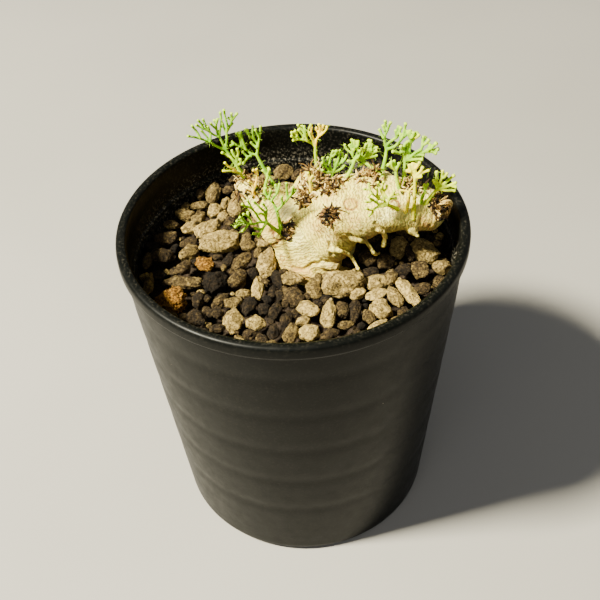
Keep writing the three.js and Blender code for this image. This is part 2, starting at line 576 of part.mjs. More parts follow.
    twigs: [
      [[0, 0], [-0.3, 1], [-0.3, 2], [-0.4, 3], [-0.4, 3.9], [-0.5, 4.7], [-0.6, 5.6]],
      [[0, 0], [0.6, 1.2], [1.2, 1.9], [1.8, 2.3], [2.1, 2.9]],
      [[0.5, 1], [0.3, 1.9], [0, 2.8], [0, 3.8]],
      [[-0.3, 1.3], [-1.4, 2.2], [-1.7, 2.9], [-2.1, 3.6], [-2.3, 4.3], [-2.5, 5.1], [-2.4, 6.2]],
      [[-2.4, 4.8], [-3.1, 5.1], [-3.7, 5.5]],
      [[-2.2, 4.1], [-2.8, 4], [-3.3, 3.5]],
      [[0, 0], [-0.9, 0.7], [-1.8, 1], [-2.2, 1.6], [-2.5, 2.4], [-3, 3]],
      [[0, 0], [-0.8, 0.1], [-1.8, 0.4], [-2.8, 0.3], [-3.6, 0.7], [-4.3, 1.6]],
    ],
    seed: 29,
  },
  {
    name: "leaf_arm_front",
    root: [23.4, -4.1, 15],
    node: [23.7, -5.1, 19.6],
    aim: [0.12, 0.26, 0.96],
    face: [-0.38, -0.88, 0.29],
    stout: 0.8,
    twigs: [
      [[0, 0], [-0.3, 0.8], [-1, 0.9], [-1.9, 0.9]],
      [[0, 0], [0, 1], [0.3, 1.7], [0.7, 2.3]],
    ],
    yellow: true,
    seed: 30,
  },
  {
    name: "leaf_arm_tip",
    root: [26.7, -2.7, 15.7],
    node: [27.4, -2.6, 18.4],
    aim: [0.32, 0.4, 0.86],
    face: [0.12, -0.92, 0.38],
    twigs: [
      [[0, 0], [-0.1, 0.8], [0.1, 1.8]],
      [[0, 0], [-0.5, 0.8], [-0.7, 1.6]],
    ],
    seed: 31,
  },
];
const LEAF = {
  thickness: 0.64,
  stalkRadius: 0.42,
  twigWidth: 0.32,
  tipWidth: 0.4,
  tipLength: 0.3,
  overlap: 0.12,
  cup: 0.16,
};

// The tufts of dead leaf stalks: where each sits, the way that it points, its strands and their length.
const DRY_TUFTS = [
  { name: "dry_tuft_left", at: [-9.7, 9.5, 15.4], aim: [-0.6, -0.5, 0.7], strands: 10, length: 3.4, core: 1.8, seed: 41 },
  { name: "dry_tuft_left_inner", at: [-6.4, 6.4, 14.8], aim: [0, -0.6, 0.8], strands: 8, length: 2.8, core: 1.5, seed: 42 },
  { name: "dry_tuft_crotch", at: [3, 3.6, 13.9], aim: [-0.5, -0.5, 0.8], strands: 8, length: 2.8, core: 1.7, seed: 43 },
  { name: "dry_tuft_middle", at: [5.8, 8.6, 15.1], aim: [-0.5, 0.1, 0.9], strands: 12, length: 5, core: 2.3, seed: 44 },
  { name: "dry_tuft_saddle", at: [9.2, 4.4, 16.1], aim: [-0.2, -0.3, 1], strands: 9, length: 3.2, core: 1.6, seed: 45 },
  { name: "dry_tuft_scar", at: [7.5, -2.9, 14.3], aim: [0, -0.8, 0.6], strands: 8, length: 2.5, core: 1.2, seed: 46 },
  { name: "dry_tuft_front", at: [-0.9, -0.6, 8.9], aim: [0.2, -0.8, 0.6], strands: 8, length: 2.1, core: 1.2, seed: 47 },
  { name: "dry_tuft_arm", at: [17.1, 4, 18.4], aim: [-0.2, 0.1, 1], strands: 9, length: 3, core: 1.6, seed: 48 },
  { name: "dry_tuft_arm_right", at: [25.3, 1.5, 17.4], aim: [0.1, 0.1, 1], strands: 8, length: 3, core: 1.5, seed: 49 },
  { name: "dry_tuft_end", at: [30.3, -2.8, 14.7], aim: [0.9, -0.4, 0.4], strands: 10, length: 3, core: 2.4, seed: 50 },
];
const DRY = { radius: 0.36, spread: 62, bend: 0.55 };

const finish = (color, roughness) => new THREE.MeshStandardMaterial({ color, roughness, metalness: 0 });
const FINISHES = {
  pot: finish(0x1b1c1b, 0.42),
  gravel: finish(0x8d7a5c, 0.95),
  skin: finish(0xd8c99a, 0.8),
  green: finish(0x9cc651, 0.6),
  yellow: finish(0xd2c63a, 0.6),
  dry: finish(0x8a6238, 0.9),
};

const vector = (xyz) => new THREE.Vector3(...xyz);
const radians = THREE.MathUtils.degToRad;

// Numbers from 0 to 1 that are the same at every run (mulberry32).
function seeded(seed) {
  let state = seed >>> 0;
  return () => {
    state = (state + 0x6d2b79f5) >>> 0;
    let t = state;
    t = Math.imul(t ^ (t >>> 15), t | 1);
    t ^= t + Math.imul(t ^ (t >>> 7), t | 61);
    return ((t ^ (t >>> 14)) >>> 0) / 4294967296;
  };
}

function toSolid(geometry) {
  const bare = new THREE.BufferGeometry();
  bare.setAttribute("position", geometry.getAttribute("position"));
  if (geometry.index) bare.setIndex(geometry.index);
  const welded = mergeVertices(bare, 1e-4);
  const vertProperties = welded.attributes.position.array;
  const triVerts = new Uint32Array(welded.index.array);
  return new wasm.Manifold(new wasm.Mesh({ numProp: 3, vertProperties, triVerts }));
}

function toGeometry(solid) {
  const { vertProperties, triVerts } = solid.getMesh();
  const geometry = new THREE.BufferGeometry();
  geometry.setAttribute("position", new THREE.BufferAttribute(vertProperties, 3));
  geometry.setIndex(new THREE.BufferAttribute(triVerts, 1));
  const faceted = geometry.toNonIndexed();
  faceted.computeVertexNormals();
  return faceted;
}

const joined = (solids) => solids.reduce((all, next) => all.add(next));

// Joins solids two by two, which is quicker than one after another.
function joinedInPairs(solids) {
  if (solids.length < 3) return joined(solids);
  const half = solids.length >> 1;
  return joinedInPairs(solids.slice(0, half)).add(joinedInPairs(solids.slice(half)));
}

// The largest body of a solid: cutting can leave loose scraps.
function mainBody(solid) {
  return solid.decompose().reduce((best, next) => (next.volume() > best.volume() ? next : best));
}

const boxesMeet = (a, b) => [0, 1, 2].every((i) => a.min[i] < b.max[i] && b.min[i] < a.max[i]);

function cutClear(solid, cutters) {
  const box = solid.boundingBox();
  const near = cutters.filter((cutter) => boxesMeet(box, cutter.boundingBox()));
  return near.length ? mainBody(near.reduce((left, cutter) => left.subtract(cutter), solid)) : solid;
}

// A round solid from a profile of [radius, height] points, turned about +Z.
function turned(profile, sides) {
  const points = profile.map(([r, z]) => new THREE.Vector2(r, z));
  return new THREE.LatheGeometry(points, sides).rotateX(Math.PI / 2);
}

// A closed tube through the points, with a radius at each, ending flat or in a low point.
function strandGeometry(points, radii, sides, pointed = 0) {
  const rings = [];
  const first = points[1].clone().sub(points[0]).normalize();
  let across = new THREE.Vector3(0.31, 0.87, 0.38).cross(first).normalize();
  points.forEach((point, i) => {
    const before = points[Math.max(i - 1, 0)];
    const after = points[Math.min(i + 1, points.length - 1)];
    const along = after.clone().sub(before).normalize();
    across = across.addScaledVector(along, -across.dot(along)).normalize();
    const up = along.clone().cross(across);
    const ring = [];
    for (let k = 0; k < sides; k++) {
      const turn = (2 * Math.PI * k) / sides;
      ring.push(
        point
          .clone()
          .addScaledVector(across, radii[i] * Math.cos(turn))
          .addScaledVector(up, radii[i] * Math.sin(turn)),
      );
    }
    rings.push(ring);
  });
  const vertices = rings.flat();
  const faces = [];
  for (let i = 0; i + 1 < rings.length; i++)
    for (let k = 0; k < sides; k++) {
      const a = i * sides + k;
      const b = i * sides + ((k + 1) % sides);
      faces.push(a, b, b + sides, a, b + sides, a + sides);
    }
  for (let k = 1; k + 1 < sides; k++) faces.push(0, k + 1, k);
  const last = (rings.length - 1) * sides;
  if (pointed > 0) {
    const end = points[points.length - 1];
    const along = end.clone().sub(points[points.length - 2]).normalize();
    vertices.push(end.clone().addScaledVector(along, pointed));
    for (let k = 0; k < sides; k++) faces.push(last + k, last + ((k + 1) % sides), vertices.length - 1);
  } else {
    for (let k = 1; k + 1 < sides; k++) faces.push(last, last + k, last + k + 1);
  }
  const geometry = new THREE.BufferGeometry().setFromPoints(vertices);
  geometry.setIndex(faces);
  return geometry;
}

// The pot

const wallRadius = (z) => POT.baseRadius + ((POT.shoulderRadius - POT.baseRadius) * z) / (POT.height - POT.rimDepth);
const insideRadius = (z) => wallRadius(z) - POT.wall - (z < POT.ledgeHeight ? POT.ledgeStep : 0);

function potProfile() {
  const { height, rimRadius, mouthRadius, rimDepth, footInner, footOuter, footRise, ledgeHeight, floorTop } = POT;
  const shoulder = height - rimDepth;
  const rings = [];
  for (let i = POT.ringCount - 1; i >= 0; i--) {
    const groove = POT.ringTop - i * POT.ringPitch;
    rings.push([wallRadius(groove - POT.ringPitch / 2), groove - POT.ringPitch / 2]);
    rings.push([wallRadius(groove) - POT.ringDepth, groove]);
  }
  return [
    [0, footRise],
    [footInner, footRise],
    [footInner + 0.5, 0],
    [footOuter, 0],
    [wallRadius(1), 1],
    ...rings,
    [wallRadius(shoulder), shoulder],
    [rimRadius, shoulder + 0.7],
    [rimRadius, height - 0.9],
    [rimRadius - 0.6, height],
    [mouthRadius + 0.5, height],
    [mouthRadius, height - 0.7],
    [mouthRadius, shoulder],
    [insideRadius(ledgeHeight + 0.3), ledgeHeight + 0.3],
    [insideRadius(ledgeHeight - 0.3), ledgeHeight - 0.3],
    [insideRadius(floorTop + 0.6), floorTop + 0.6],
    [insideRadius(floorTop) - 0.6, floorTop],
    [0, floorTop],
  ];
}

function potSolid() {
  const pot = toSolid(turned(potProfile(), POT.sides));
  const holes = [];
  for (let i = 0; i < DRAIN.count; i++) {
    const turn = (2 * Math.PI * (i + 0.5)) / DRAIN.count;
    const drill = new THREE.CylinderGeometry(DRAIN.holeRadius, DRAIN.holeRadius, 3 * POT.floorTop, DRAIN.sides)
      .rotateX(Math.PI / 2)
      .translate(DRAIN.circleRadius * Math.cos(turn), DRAIN.circleRadius * Math.sin(turn), POT.floorTop / 2);
    holes.push(toSolid(drill));
  }
  return pot.subtract(joined(holes));
}

// The stem, as a field that is negative inside

function chainDistance(p, chain) {
  let nearest = Infinity;
  for (let i = 0; i + 1 < chain.length; i++) {
    const [ax, ay, az, ar] = chain[i];
    const [bx, by, bz, br] = chain[i + 1];
    const [ux, uy, uz] = [bx - ax, by - ay, bz - az];
    const along = ((p[0] - ax) * ux + (p[1] - ay) * uy + (p[2] - az) * uz) / (ux * ux + uy * uy + uz * uz);
    const t = Math.min(1, Math.max(0, along));
    const reach = Math.hypot(p[0] - ax - t * ux, p[1] - ay - t * uy, p[2] - az - t * uz);
    nearest = Math.min(nearest, reach - ar - t * (br - ar));
  }
  return nearest;
}

function blended(a, b, width) {
  const h = Math.max(width - Math.abs(a - b), 0) / width;
  return Math.min(a, b) - (h * h * width) / 4;
}

function stemField(p) {
  let field = Infinity;
  for (const chain of Object.values(LIMBS)) field = blended(field, chainDistance(p, chain), STEM.blend);
  for (const [x, y, z, r] of KNOBS)
    field = blended(field, Math.hypot(p[0] - x, p[1] - y, p[2] - z) - r, STEM.knobBlend);
  const wave = Math.sin(0.62 * p[0] + 1.1) * Math.sin(0.7 * p[1] - 0.4) * Math.sin(0.58 * p[2] + 0.9);
  return field - STEM.waveHeight * wave;
}

// The surface where a field is zero, as one vertex in each grid cell that it crosses (surface nets).
function surfaceOf(field, low, high, cell) {
  const count = [0, 1, 2].map((i) => Math.ceil((high[i] - low[i]) / cell) + 1);
  const at = (i, j, k) => (k * count[1] + j) * count[0] + i;
  const place = (i, j, k) => [low[0] + i * cell, low[1] + j * cell, low[2] + k * cell];
  const values = new Float64Array(count[0] * count[1] * count[2]);
  for (let k = 0; k < count[2]; k++)
    for (let j = 0; j < count[1]; j++)
      for (let i = 0; i < count[0]; i++) values[at(i, j, k)] = field(place(i, j, k));
  const vertices = [];
  const vertexOf = new Map();
  const corners = [0, 1, 2, 3, 4, 5, 6, 7].map((n) => [n & 1, (n >> 1) & 1, n >> 2]);
  const vertexIn = (i, j, k) => {
    const key = at(i, j, k);
    if (vertexOf.has(key)) return vertexOf.get(key);
    const middle = new THREE.Vector3();
    let crossings = 0;
    for (const a of corners)
      for (let axis = 0; axis < 3; axis++) {
        if (a[axis]) continue;
        const b = a.map((v, n) => (n === axis ? 1 : v));
        const va = values[at(i + a[0], j + a[1], k + a[2])];
        const vb = values[at(i + b[0], j + b[1], k + b[2])];
        if (va < 0 === vb < 0) continue;
        const from = vector(place(i + a[0], j + a[1], k + a[2]));
        middle.add(from.lerp(vector(place(i + b[0], j + b[1], k + b[2])), va / (va - vb)));
        crossings++;
      }
    vertices.push(middle.divideScalar(crossings));
    vertexOf.set(key, vertices.length - 1);
    return vertices.length - 1;
  };
  const faces = [];
  for (let k = 1; k + 1 < count[2]; k++)
    for (let j = 1; j + 1 < count[1]; j++)
      for (let i = 1; i + 1 < count[0]; i++)
        for (let axis = 0; axis < 3; axis++) {
          const step = [0, 1, 2].map((n) => (n === axis ? 1 : 0));
          const here = values[at(i, j, k)] < 0;
          if (here === values[at(i + step[0], j + step[1], k + step[2])] < 0) continue;
          const u = [0, 1, 2].map((n) => (n === (axis + 1) % 3 ? 1 : 0));
          const v = [0, 1, 2].map((n) => (n === (axis + 2) % 3 ? 1 : 0));
          const round = [
            vertexIn(i - u[0] - v[0], j - u[1] - v[1], k - u[2] - v[2]),
            vertexIn(i - v[0], j - v[1], k - v[2]),
            vertexIn(i, j, k),
            vertexIn(i - u[0], j - u[1], k - u[2]),
          ];
          const [a, b, c, d] = here ? round : round.reverse();
          faces.push(a, b, c, a, c, d);
        }
  const geometry = new THREE.BufferGeometry().setFromPoints(vertices);
  geometry.setIndex(faces);
  return geometry;
}

const STEM_LOW = [-16, -14, -24];
const STEM_HIGH = [38, 16, 26];

function stemSolid(grow = 0) {
  const body = toSolid(surfaceOf((p) => stemField(p) - grow, STEM_LOW, STEM_HIGH, STEM.cell));
  const roots = AIR_ROOTS.map(({ points, radii }) => {
    const widths = radii.map((r) => r + grow);
    return toSolid(strandGeometry(points.map(vector), widths, 5, 0.4 + grow));
  });
  return body.add(joined(roots));
}

// The leaves

// The outline of one leaf, laid flat: every twig a rod's outline from point to point, with a blunt tip at its end.
function leafOutline(leaf, grow) {
  const stout = leaf.stout ?? 1;
  const [rod, tip] = [LEAF.twigWidth * stout + grow, LEAF.tipWidth * stout + grow];
  const pieces = [];
  for (const twig of leaf.twigs) {
    for (let i = 1; i < twig.length; i++) {
      const start = new THREE.Vector2(...twig[i - 1]);
      const along = new THREE.Vector2(...twig[i]).sub(start);
      const length = along.length();
      along.normalize();
      const corner = ([ahead, aside]) => [
        start.x + ahead * along.x + aside * along.y,
        start.y + ahead * along.y - aside * along.x,
      ];
      const front =
        i === twig.length - 1
          ? [[length - LEAF.tipLength, tip], [length + grow, 0], [length - LEAF.tipLength, -tip]]
          : [[length, rod], [length, -rod]];
      const outline = [[-LEAF.overlap - grow, -rod], [-LEAF.overlap - grow, rod], ...front];
      pieces.push(new wasm.CrossSection([outline.map(corner)], "Positive"));
    }
  }
  return wasm.CrossSection.union(pieces).simplify(0.04);
}

// A leaf is its outline with some thickness, cupped towards its upper side, on a round stalk.
function leafSolid(leaf, grow = 0) {
  const [root, node, aim, face] = [leaf.root, leaf.node, leaf.aim, leaf.face].map(vector);
  aim.normalize();
  face.addScaledVector(aim, -face.dot(aim)).normalize();
  const across = aim.clone().cross(face);
  const cupped = (point) => {
    point[2] += LEAF.cup * Math.hypot(point[0], 0.5 * point[1]) ** 1.5;
  };
  const placed = new THREE.Matrix4().makeBasis(across, aim, face).setPosition(node);
  const blade = wasm.Manifold.extrude(leafOutline(leaf, grow), LEAF.thickness + 2 * grow, 0, 0, [1, 1], true)
    .warp(cupped)
    .transform(placed.toArray());
  const rise = node.clone().sub(root).normalize();
  const start = root.clone().addScaledVector(rise, -0.3 - grow);
  const points = [start, root.clone().lerp(node, 0.6), node.clone().addScaledVector(rise, 0.2)];
  const stalk = strandGeometry(points, [0.08, 0, -0.06].map((more) => LEAF.stalkRadius + more + grow), 5);
  return blade.add(toSolid(stalk));
}

// The dry tufts

function dryTuftSolid(tuft) {
  const random = seeded(tuft.seed);
  const at = vector(tuft.at);
  const aim = vector(tuft.aim).normalize();
  const side = new THREE.Vector3(0.4, 0.8, 0.3).cross(aim).normalize();
  const core = new THREE.IcosahedronGeometry(tuft.core, 0).scale(1, 1, 0.8).translate(...at.toArray());
  const solids = [toSolid(core)];
  for (let i = 0; i < tuft.strands; i++) {
    const round = (2 * Math.PI * (i + 0.5 * random())) / tuft.strands;
    const lean = radians(DRY.spread * (0.25 + 0.75 * random()));
    const way = aim.clone().applyAxisAngle(side, lean).applyAxisAngle(aim, round);
    const length = tuft.length * (0.65 + 0.5 * random());
    const middle = at.clone().addScaledVector(way, length * 0.6);
    const end = middle.clone().addScaledVector(way, length * 0.35);
    end.z += length * DRY.bend * (random() - 0.35);
    solids.push(toSolid(strandGeometry([at, middle, end], [DRY.radius, DRY.radius, DRY.radius * 0.6], 3, 0.3)));
  }
  return joinedInPairs(solids);
}

// The gravel

// Where each stone lies: the big ones are set first, and small ones fill the bed from its floor up.
function stonesInBed() {
  const random = seeded(BED.seed);
  const [crownX, crownY, , crownRadius] = CROWN;
  const stones = LAID_STONES.map(([x, y, z, long, wide, high, turn]) => ({
    x,
    y,
    z,
    r: 0.5 * (long + wide),
    size: [long, wide, high],
    turn: THREE.MathUtils.degToRad(turn),
    seed: 1 + Math.floor(1e6 * random()),
  }));
  const restingHeight = (x, y, r) => {
    let z = BED.floor + r;
    for (const other of stones) {
      const reach = (r + other.r) * BED.close;
      const apart = (x - other.x) ** 2 + (y - other.y) ** 2;
      if (apart < reach * reach) z = Math.max(z, other.z + Math.sqrt(reach * reach - apart));
    }
    return z;
  };
  for (let misses = 0; misses < BED.patience; ) {
    const r = BED.smallest + BED.spread * random() ** BED.favourSmall;
    let best = null;
    for (let i = 0; i < BED.tries; i++) {
      const out = (BED.reach + 0.6 - r) * Math.sqrt(random());
      const turn = 2 * Math.PI * random();
      const [x, y] = [out * Math.cos(turn), out * Math.sin(turn)];
      if (Math.hypot(x - crownX, y - crownY) < crownRadius + 0.4 * r) continue;
      const z = restingHeight(x, y, r);
      if (!best || z < best.z) best = { x, y, z, r };
    }
    if (!best || best.z + best.r > BED.level) {
      misses++;
      continue;
    }
    stones.push({ ...best, seed: 1 + Math.floor(1e6 * random()) });
  }
  return stones;
}

// One stone: a ball of twenty faces, or a block if it is small, with uneven corners, longer one way, and turned.
function stoneSolid({ x, y, z, r, seed, size, turn }) {
  const random = seeded(seed);
  const block = r < BED.blockBelow;
  const fill = block ? BED.blockFill : 1;
  const scale = size
    ? size.map((half) => half * fill)
    : [r * (1.08 + 0.22 * random()), r * (0.9 + 0.14 * random()), r * (0.74 + 0.14 * random())];
  const lean = size ? BED.leanLaid : BED.leanLoose;
  const spin = size ? turn : 2 * Math.PI * random();
  const way = new THREE.Euler(lean * (random() - 0.5), lean * (random() - 0.5), spin, "ZYX");
  const form = block ? new THREE.BoxGeometry(1.3, 1.3, 1.3) : new THREE.IcosahedronGeometry(1, 0);
  const stone = mergeVertices(form.deleteAttribute("normal").deleteAttribute("uv"));
  const corners = stone.getAttribute("position");
  for (let i = 0; i < corners.count; i++) {
    const stretch = 0.92 + 0.26 * random();
    corners.setXYZ(i, corners.getX(i) * stretch, corners.getY(i) * stretch, corners.getZ(i) * stretch);
  }
  const place = new THREE.Matrix4().compose(
    new THREE.Vector3(x, y, z),
    new THREE.Quaternion().setFromEuler(way),
    vector(scale),
  );
  return toSolid(stone.applyMatrix4(place));
}

function gravelSolid(stemRoom) {
  const insideAt = (z) => insideRadius(z + SOIL_LINE) - GAP;
  const bottom = POT.floorTop + GAP - SOIL_LINE;
  const filled = (top) =>
    toSolid(
      turned(
        [
          [0, bottom],
          [insideRadius(POT.floorTop) - 0.6 - GAP, bottom],
          [insideAt(bottom + 0.6), bottom + 0.6],
          [insideAt(-0.5), Math.min(top, 1.2)],
          [0, Math.min(top, 1.2)],
        ],
        POT.sides,
      ),
    );
  const room = toSolid(
    turned(
      [
        [0, bottom],
        [insideRadius(POT.floorTop) - 0.6 - GAP, bottom],
        [insideAt(bottom + 0.6), bottom + 0.6],
        [insideAt(1), 1],
        [insideAt(1), 8],
        [0, 8],
      ],
      POT.sides,
    ),
  );
  const shown = stonesInBed().filter((stone) => stone.z + stone.r > BED.shown);
  return mainBody(joinedInPairs([filled(BED.top), ...shown.map(stoneSolid)]).intersect(room).subtract(stemRoom));
}

// Putting it together

const plantPart = (name, solid, material) => {
  const mesh = new THREE.Mesh(toGeometry(solid), material);
  mesh.name = name;
  return mesh;
};

const stemRoom = stemSolid(PLANT_GAP);
const leafSolids = [];
const leafRooms = [];
for (const leaf of LEAVES) {
  leafSolids.push(cutClear(leafSolid(leaf), [stemRoom, ...leafRooms]));
  leafRooms.push(leafSolid(leaf, PLANT_GAP));
}

// Everything above the pot is placed from the soil line.
const plant = new THREE.Group();
plant.position.z = SOIL_LINE;
plant.add(plantPart("gravel", gravelSolid(stemRoom), FINISHES.gravel));
plant.add(plantPart("caudex", stemSolid(), FINISHES.skin));
LEAVES.forEach((leaf, i) => {
  plant.add(plantPart(leaf.name, leafSolids[i], leaf.yellow ? FINISHES.yellow : FINISHES.green));
});
for (const tuft of DRY_TUFTS)
  plant.add(plantPart(tuft.name, cutClear(dryTuftSolid(tuft), [stemRoom, ...leafRooms]), FINISHES.dry));

const potted = new THREE.Group();
potted.add(plantPart("pot", potSolid(), FINISHES.pot));
potted.add(plant);
export default potted;
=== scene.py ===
# A small caudex plant, a monsonia hybrid, in a round black plastic pot filled with gravelly mix.
# Metres, +Z up, the origin under the middle of the pot. Sizes are written in millimetres and turned into
# metres when a mesh is made; the plant's own heights are counted from the soil line.
import math

import bmesh
import bpy
import numpy as np
from mathutils import Euler, Matrix, Vector, noise


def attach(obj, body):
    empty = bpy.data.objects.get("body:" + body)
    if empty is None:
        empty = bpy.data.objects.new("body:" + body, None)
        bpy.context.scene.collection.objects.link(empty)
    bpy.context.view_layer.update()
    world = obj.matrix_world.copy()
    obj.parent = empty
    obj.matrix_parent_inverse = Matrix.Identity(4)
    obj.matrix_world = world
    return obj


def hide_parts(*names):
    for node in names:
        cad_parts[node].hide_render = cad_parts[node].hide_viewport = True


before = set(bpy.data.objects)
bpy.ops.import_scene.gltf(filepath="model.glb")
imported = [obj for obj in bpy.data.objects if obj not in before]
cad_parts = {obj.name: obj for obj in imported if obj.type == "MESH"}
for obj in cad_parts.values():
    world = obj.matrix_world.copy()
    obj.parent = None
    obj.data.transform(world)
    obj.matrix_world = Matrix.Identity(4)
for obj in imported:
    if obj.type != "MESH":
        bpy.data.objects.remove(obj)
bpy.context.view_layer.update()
MM = 0.001
BODY = "root"

# The camera
# It looks down on the pot from the front, as it was fitted to the pot's rim, sides and base line in the
# photograph. The picture is 600 x 600 and the camera's sensor is square.

CAMERA_PLACE = (0, -0.149187, 0.200082)
CAMERA_RIGHT = (0.99835779, -0.04219153, -0.03875053)
CAMERA_UP = (0.05717915, 0.69254862, 0.71910149)
CAMERA_LENS = 54
CAMERA_SENSOR = 36
CAMERA_NEAREST = 0.01

camera_data = bpy.data.cameras.new("camera")
camera_data.lens = CAMERA_LENS
camera_data.sensor_width = CAMERA_SENSOR
camera_data.clip_start = CAMERA_NEAREST
camera = bpy.data.objects.new("camera", camera_data)
bpy.context.scene.collection.objects.link(camera)
right, up = Vector(CAMERA_RIGHT), Vector(CAMERA_UP)
camera_turn = Matrix((right, up, right.cross(up))).transposed().to_4x4()
camera.matrix_world = Matrix.Translation(CAMERA_PLACE) @ camera_turn
bpy.context.scene.camera = camera

# The pot
# A tapered black plastic pot, blown in one piece: a rolled rim, a step inside below it, faint moulded rings
# and a ring foot with drain holes. The plastic is satin, with a thin dust on it.

RIM_RADIUS = 37.5
MOUTH_RADIUS = 35.3
POT_HEIGHT = 80
BASE_RADIUS = 31
SHOULDER_RADIUS = 36.8
RIM_DEPTH = 3.4
WALL = 1.3
LEDGE_HEIGHT = 71
LEDGE_STEP = 0.5
FLOOR_TOP = 2.8
FOOT_INNER = 27.4
FOOT_OUTER = 30.2
FOOT_RISE = 1.4
RING_HEIGHTS = (69.8, 57.4, 45.0, 32.6, 20.2)
RING_DEPTH = 0.1
RING_SOFTNESS = 1.7
WALL_START = 1.5
WALL_STEP = 0.8
RIM_UNDERCUT = 0.6
MOUTH_SLOPE = 1.6
POT_SIDES = 180
POT_SHARP_ANGLE = 38
DRAIN_COUNT = 6
DRAIN_CIRCLE = 18
DRAIN_RADIUS = 2.4
DRAIN_SIDES = 32
DUST_HEIGHT = 70.5
DUST_REACH = 2.6
DUST_INSIDE = 0.1
DUST_NEAR_SOIL = 0.6
DUST_OUTSIDE = 0.03
DUST_EDGE = 0.6
PLASTIC_TONES = ((0.3, "030403"), (0.7, "060706"))
DUST_COLOUR = "a39b88"


def wall_radius(height):
    return BASE_RADIUS + (SHOULDER_RADIUS - BASE_RADIUS) * height / (POT_HEIGHT - RIM_DEPTH)


def ringed_radius(height):
    dips = sum(math.exp(-(((height - ring) / RING_SOFTNESS) ** 2)) for ring in RING_HEIGHTS)
    return wall_radius(height) - RING_DEPTH * dips


def inside_radius(height):
    return wall_radius(height) - WALL - (LEDGE_STEP if height < LEDGE_HEIGHT else 0)


def softened(corners, steps=4):
    """A profile whose corners are rounded: each row is radius, height and how far the rounding reaches."""
    points = []
    for i, (radius, height, reach) in enumerate(corners):
        corner = np.array([radius, height])
        if not reach or i in (0, len(corners) - 1):
            points.append(corner)
            continue
        before = np.array(corners[i - 1][:2]) - corner
        after = np.array(corners[i + 1][:2]) - corner
        start = corner + before * min(reach / np.linalg.norm(before), 0.5)
        end = corner + after * min(reach / np.linalg.norm(after), 0.5)
        for step in range(steps + 1):
            t = step / steps
            points.append((1 - t) ** 2 * start + 2 * t * (1 - t) * corner + t**2 * end)
    return points


def pot_profile():
    shoulder = POT_HEIGHT - RIM_DEPTH
    heights = np.arange(WALL_START, shoulder - RIM_UNDERCUT, WALL_STEP)
    wall = [(ringed_radius(height), height, 0) for height in heights]
    return softened(
        [
            (0, FOOT_RISE, 0),
            (FOOT_INNER, FOOT_RISE, 0.3),
            (FOOT_INNER + 0.5, 0, 0.4),
            (FOOT_OUTER, 0, 0.7),
            *wall,
            (wall_radius(shoulder), shoulder, 0.3),
            (RIM_RADIUS, shoulder + RIM_UNDERCUT, 0.4),
            (RIM_RADIUS, POT_HEIGHT, 1.1),
            (MOUTH_RADIUS, POT_HEIGHT, 0.9),
            (MOUTH_RADIUS, shoulder, 0.5),
            (inside_radius(shoulder - MOUTH_SLOPE), shoulder - MOUTH_SLOPE, 0.5),
            (inside_radius(LEDGE_HEIGHT + 0.4), LEDGE_HEIGHT + 0.4, 0.25),
            (inside_radius(LEDGE_HEIGHT - 0.2), LEDGE_HEIGHT - 0.2, 0.25),
            (inside_radius(FLOOR_TOP), FLOOR_TOP, 1.2),
            (0, FLOOR_TOP, 0),
        ]
    )


def turned(profile, sides):
    """Points and faces of a profile of radius and height turned about the upright axis, where it ends."""
    (_, first), *middle, (_, last) = profile
    turns = np.arange(sides) * 2 * math.pi / sides
    rings = [(r * math.cos(t), r * math.sin(t), z) for r, z in middle for t in turns]
    points = [(0, 0, first), *rings, (0, 0, last)]
    end = len(points) - 1
    faces = []
    for k in range(sides):
        after = (k + 1) % sides
        faces.append((0, 1 + after, 1 + k))
        for i in range(len(middle) - 1):
            low, high = 1 + i * sides, 1 + (i + 1) * sides
            faces.append((low + k, low + after, high + after, high + k))
        top = 1 + (len(middle) - 1) * sides
        faces.append((top + k, top + after, end))
    return points, faces


def made(name, points, faces, edges=()):
    """A new object from points in millimetres, lying at the origin."""
    mesh = bpy.data.meshes.new(name)
    faces = [tuple(map(int, face)) for face in faces]
    mesh.from_pydata((np.asarray(points, float) * MM).tolist(), list(edges), faces)
    mesh.shade_smooth()
    thing = bpy.data.objects.new(name, mesh)
    bpy.context.scene.collection.objects.link(thing)
    return thing


def bell(x):
    """One at zero and fading on both sides of it."""
    return np.exp(-(x**2))


def points_of(mesh):
    """The mesh's points in millimetres."""
    flat = np.zeros(len(mesh.vertices) * 3)
    mesh.vertices.foreach_get("co", flat)
    return flat.reshape(-1, 3) / MM


def mark(mesh, name, values):
    """Keeps one number for each point of the mesh, under a name."""
    attribute = mesh.attributes.new(name, "FLOAT", "POINT")
    attribute.data.foreach_set("value", np.asarray(values, np.float32))


def settled(thing):
    """Turns an object with its modifiers into a plain mesh."""
    depsgraph = bpy.context.evaluated_depsgraph_get()
    mesh = bpy.data.meshes.new_from_object(
        thing.evaluated_get(depsgraph), preserve_all_data_layers=True, depsgraph=depsgraph
    )
    thing.modifiers.clear()
    thing.data = mesh
    return thing


def node(tree, kind, inputs=None, **settings):
    """A new node: its settings, and its inputs by name or number, each a value or another node's output."""
    new = tree.nodes.new(kind)
    for key, value in settings.items():
        setattr(new, key, value)
    for key, value in (inputs or {}).items():
        if isinstance(value, bpy.types.NodeSocket):
            tree.links.new(value, new.inputs[key])
        else:
            new.inputs[key].default_value = value
    return new


def shade(code):
    """A colour from its hexadecimal code."""
    parts = [int(code[i : i + 2], 16) / 255 for i in (0, 2, 4)]
    return (*(part / 12.92 if part < 0.04045 else ((part + 0.055) / 1.055) ** 2.4 for part in parts), 1)


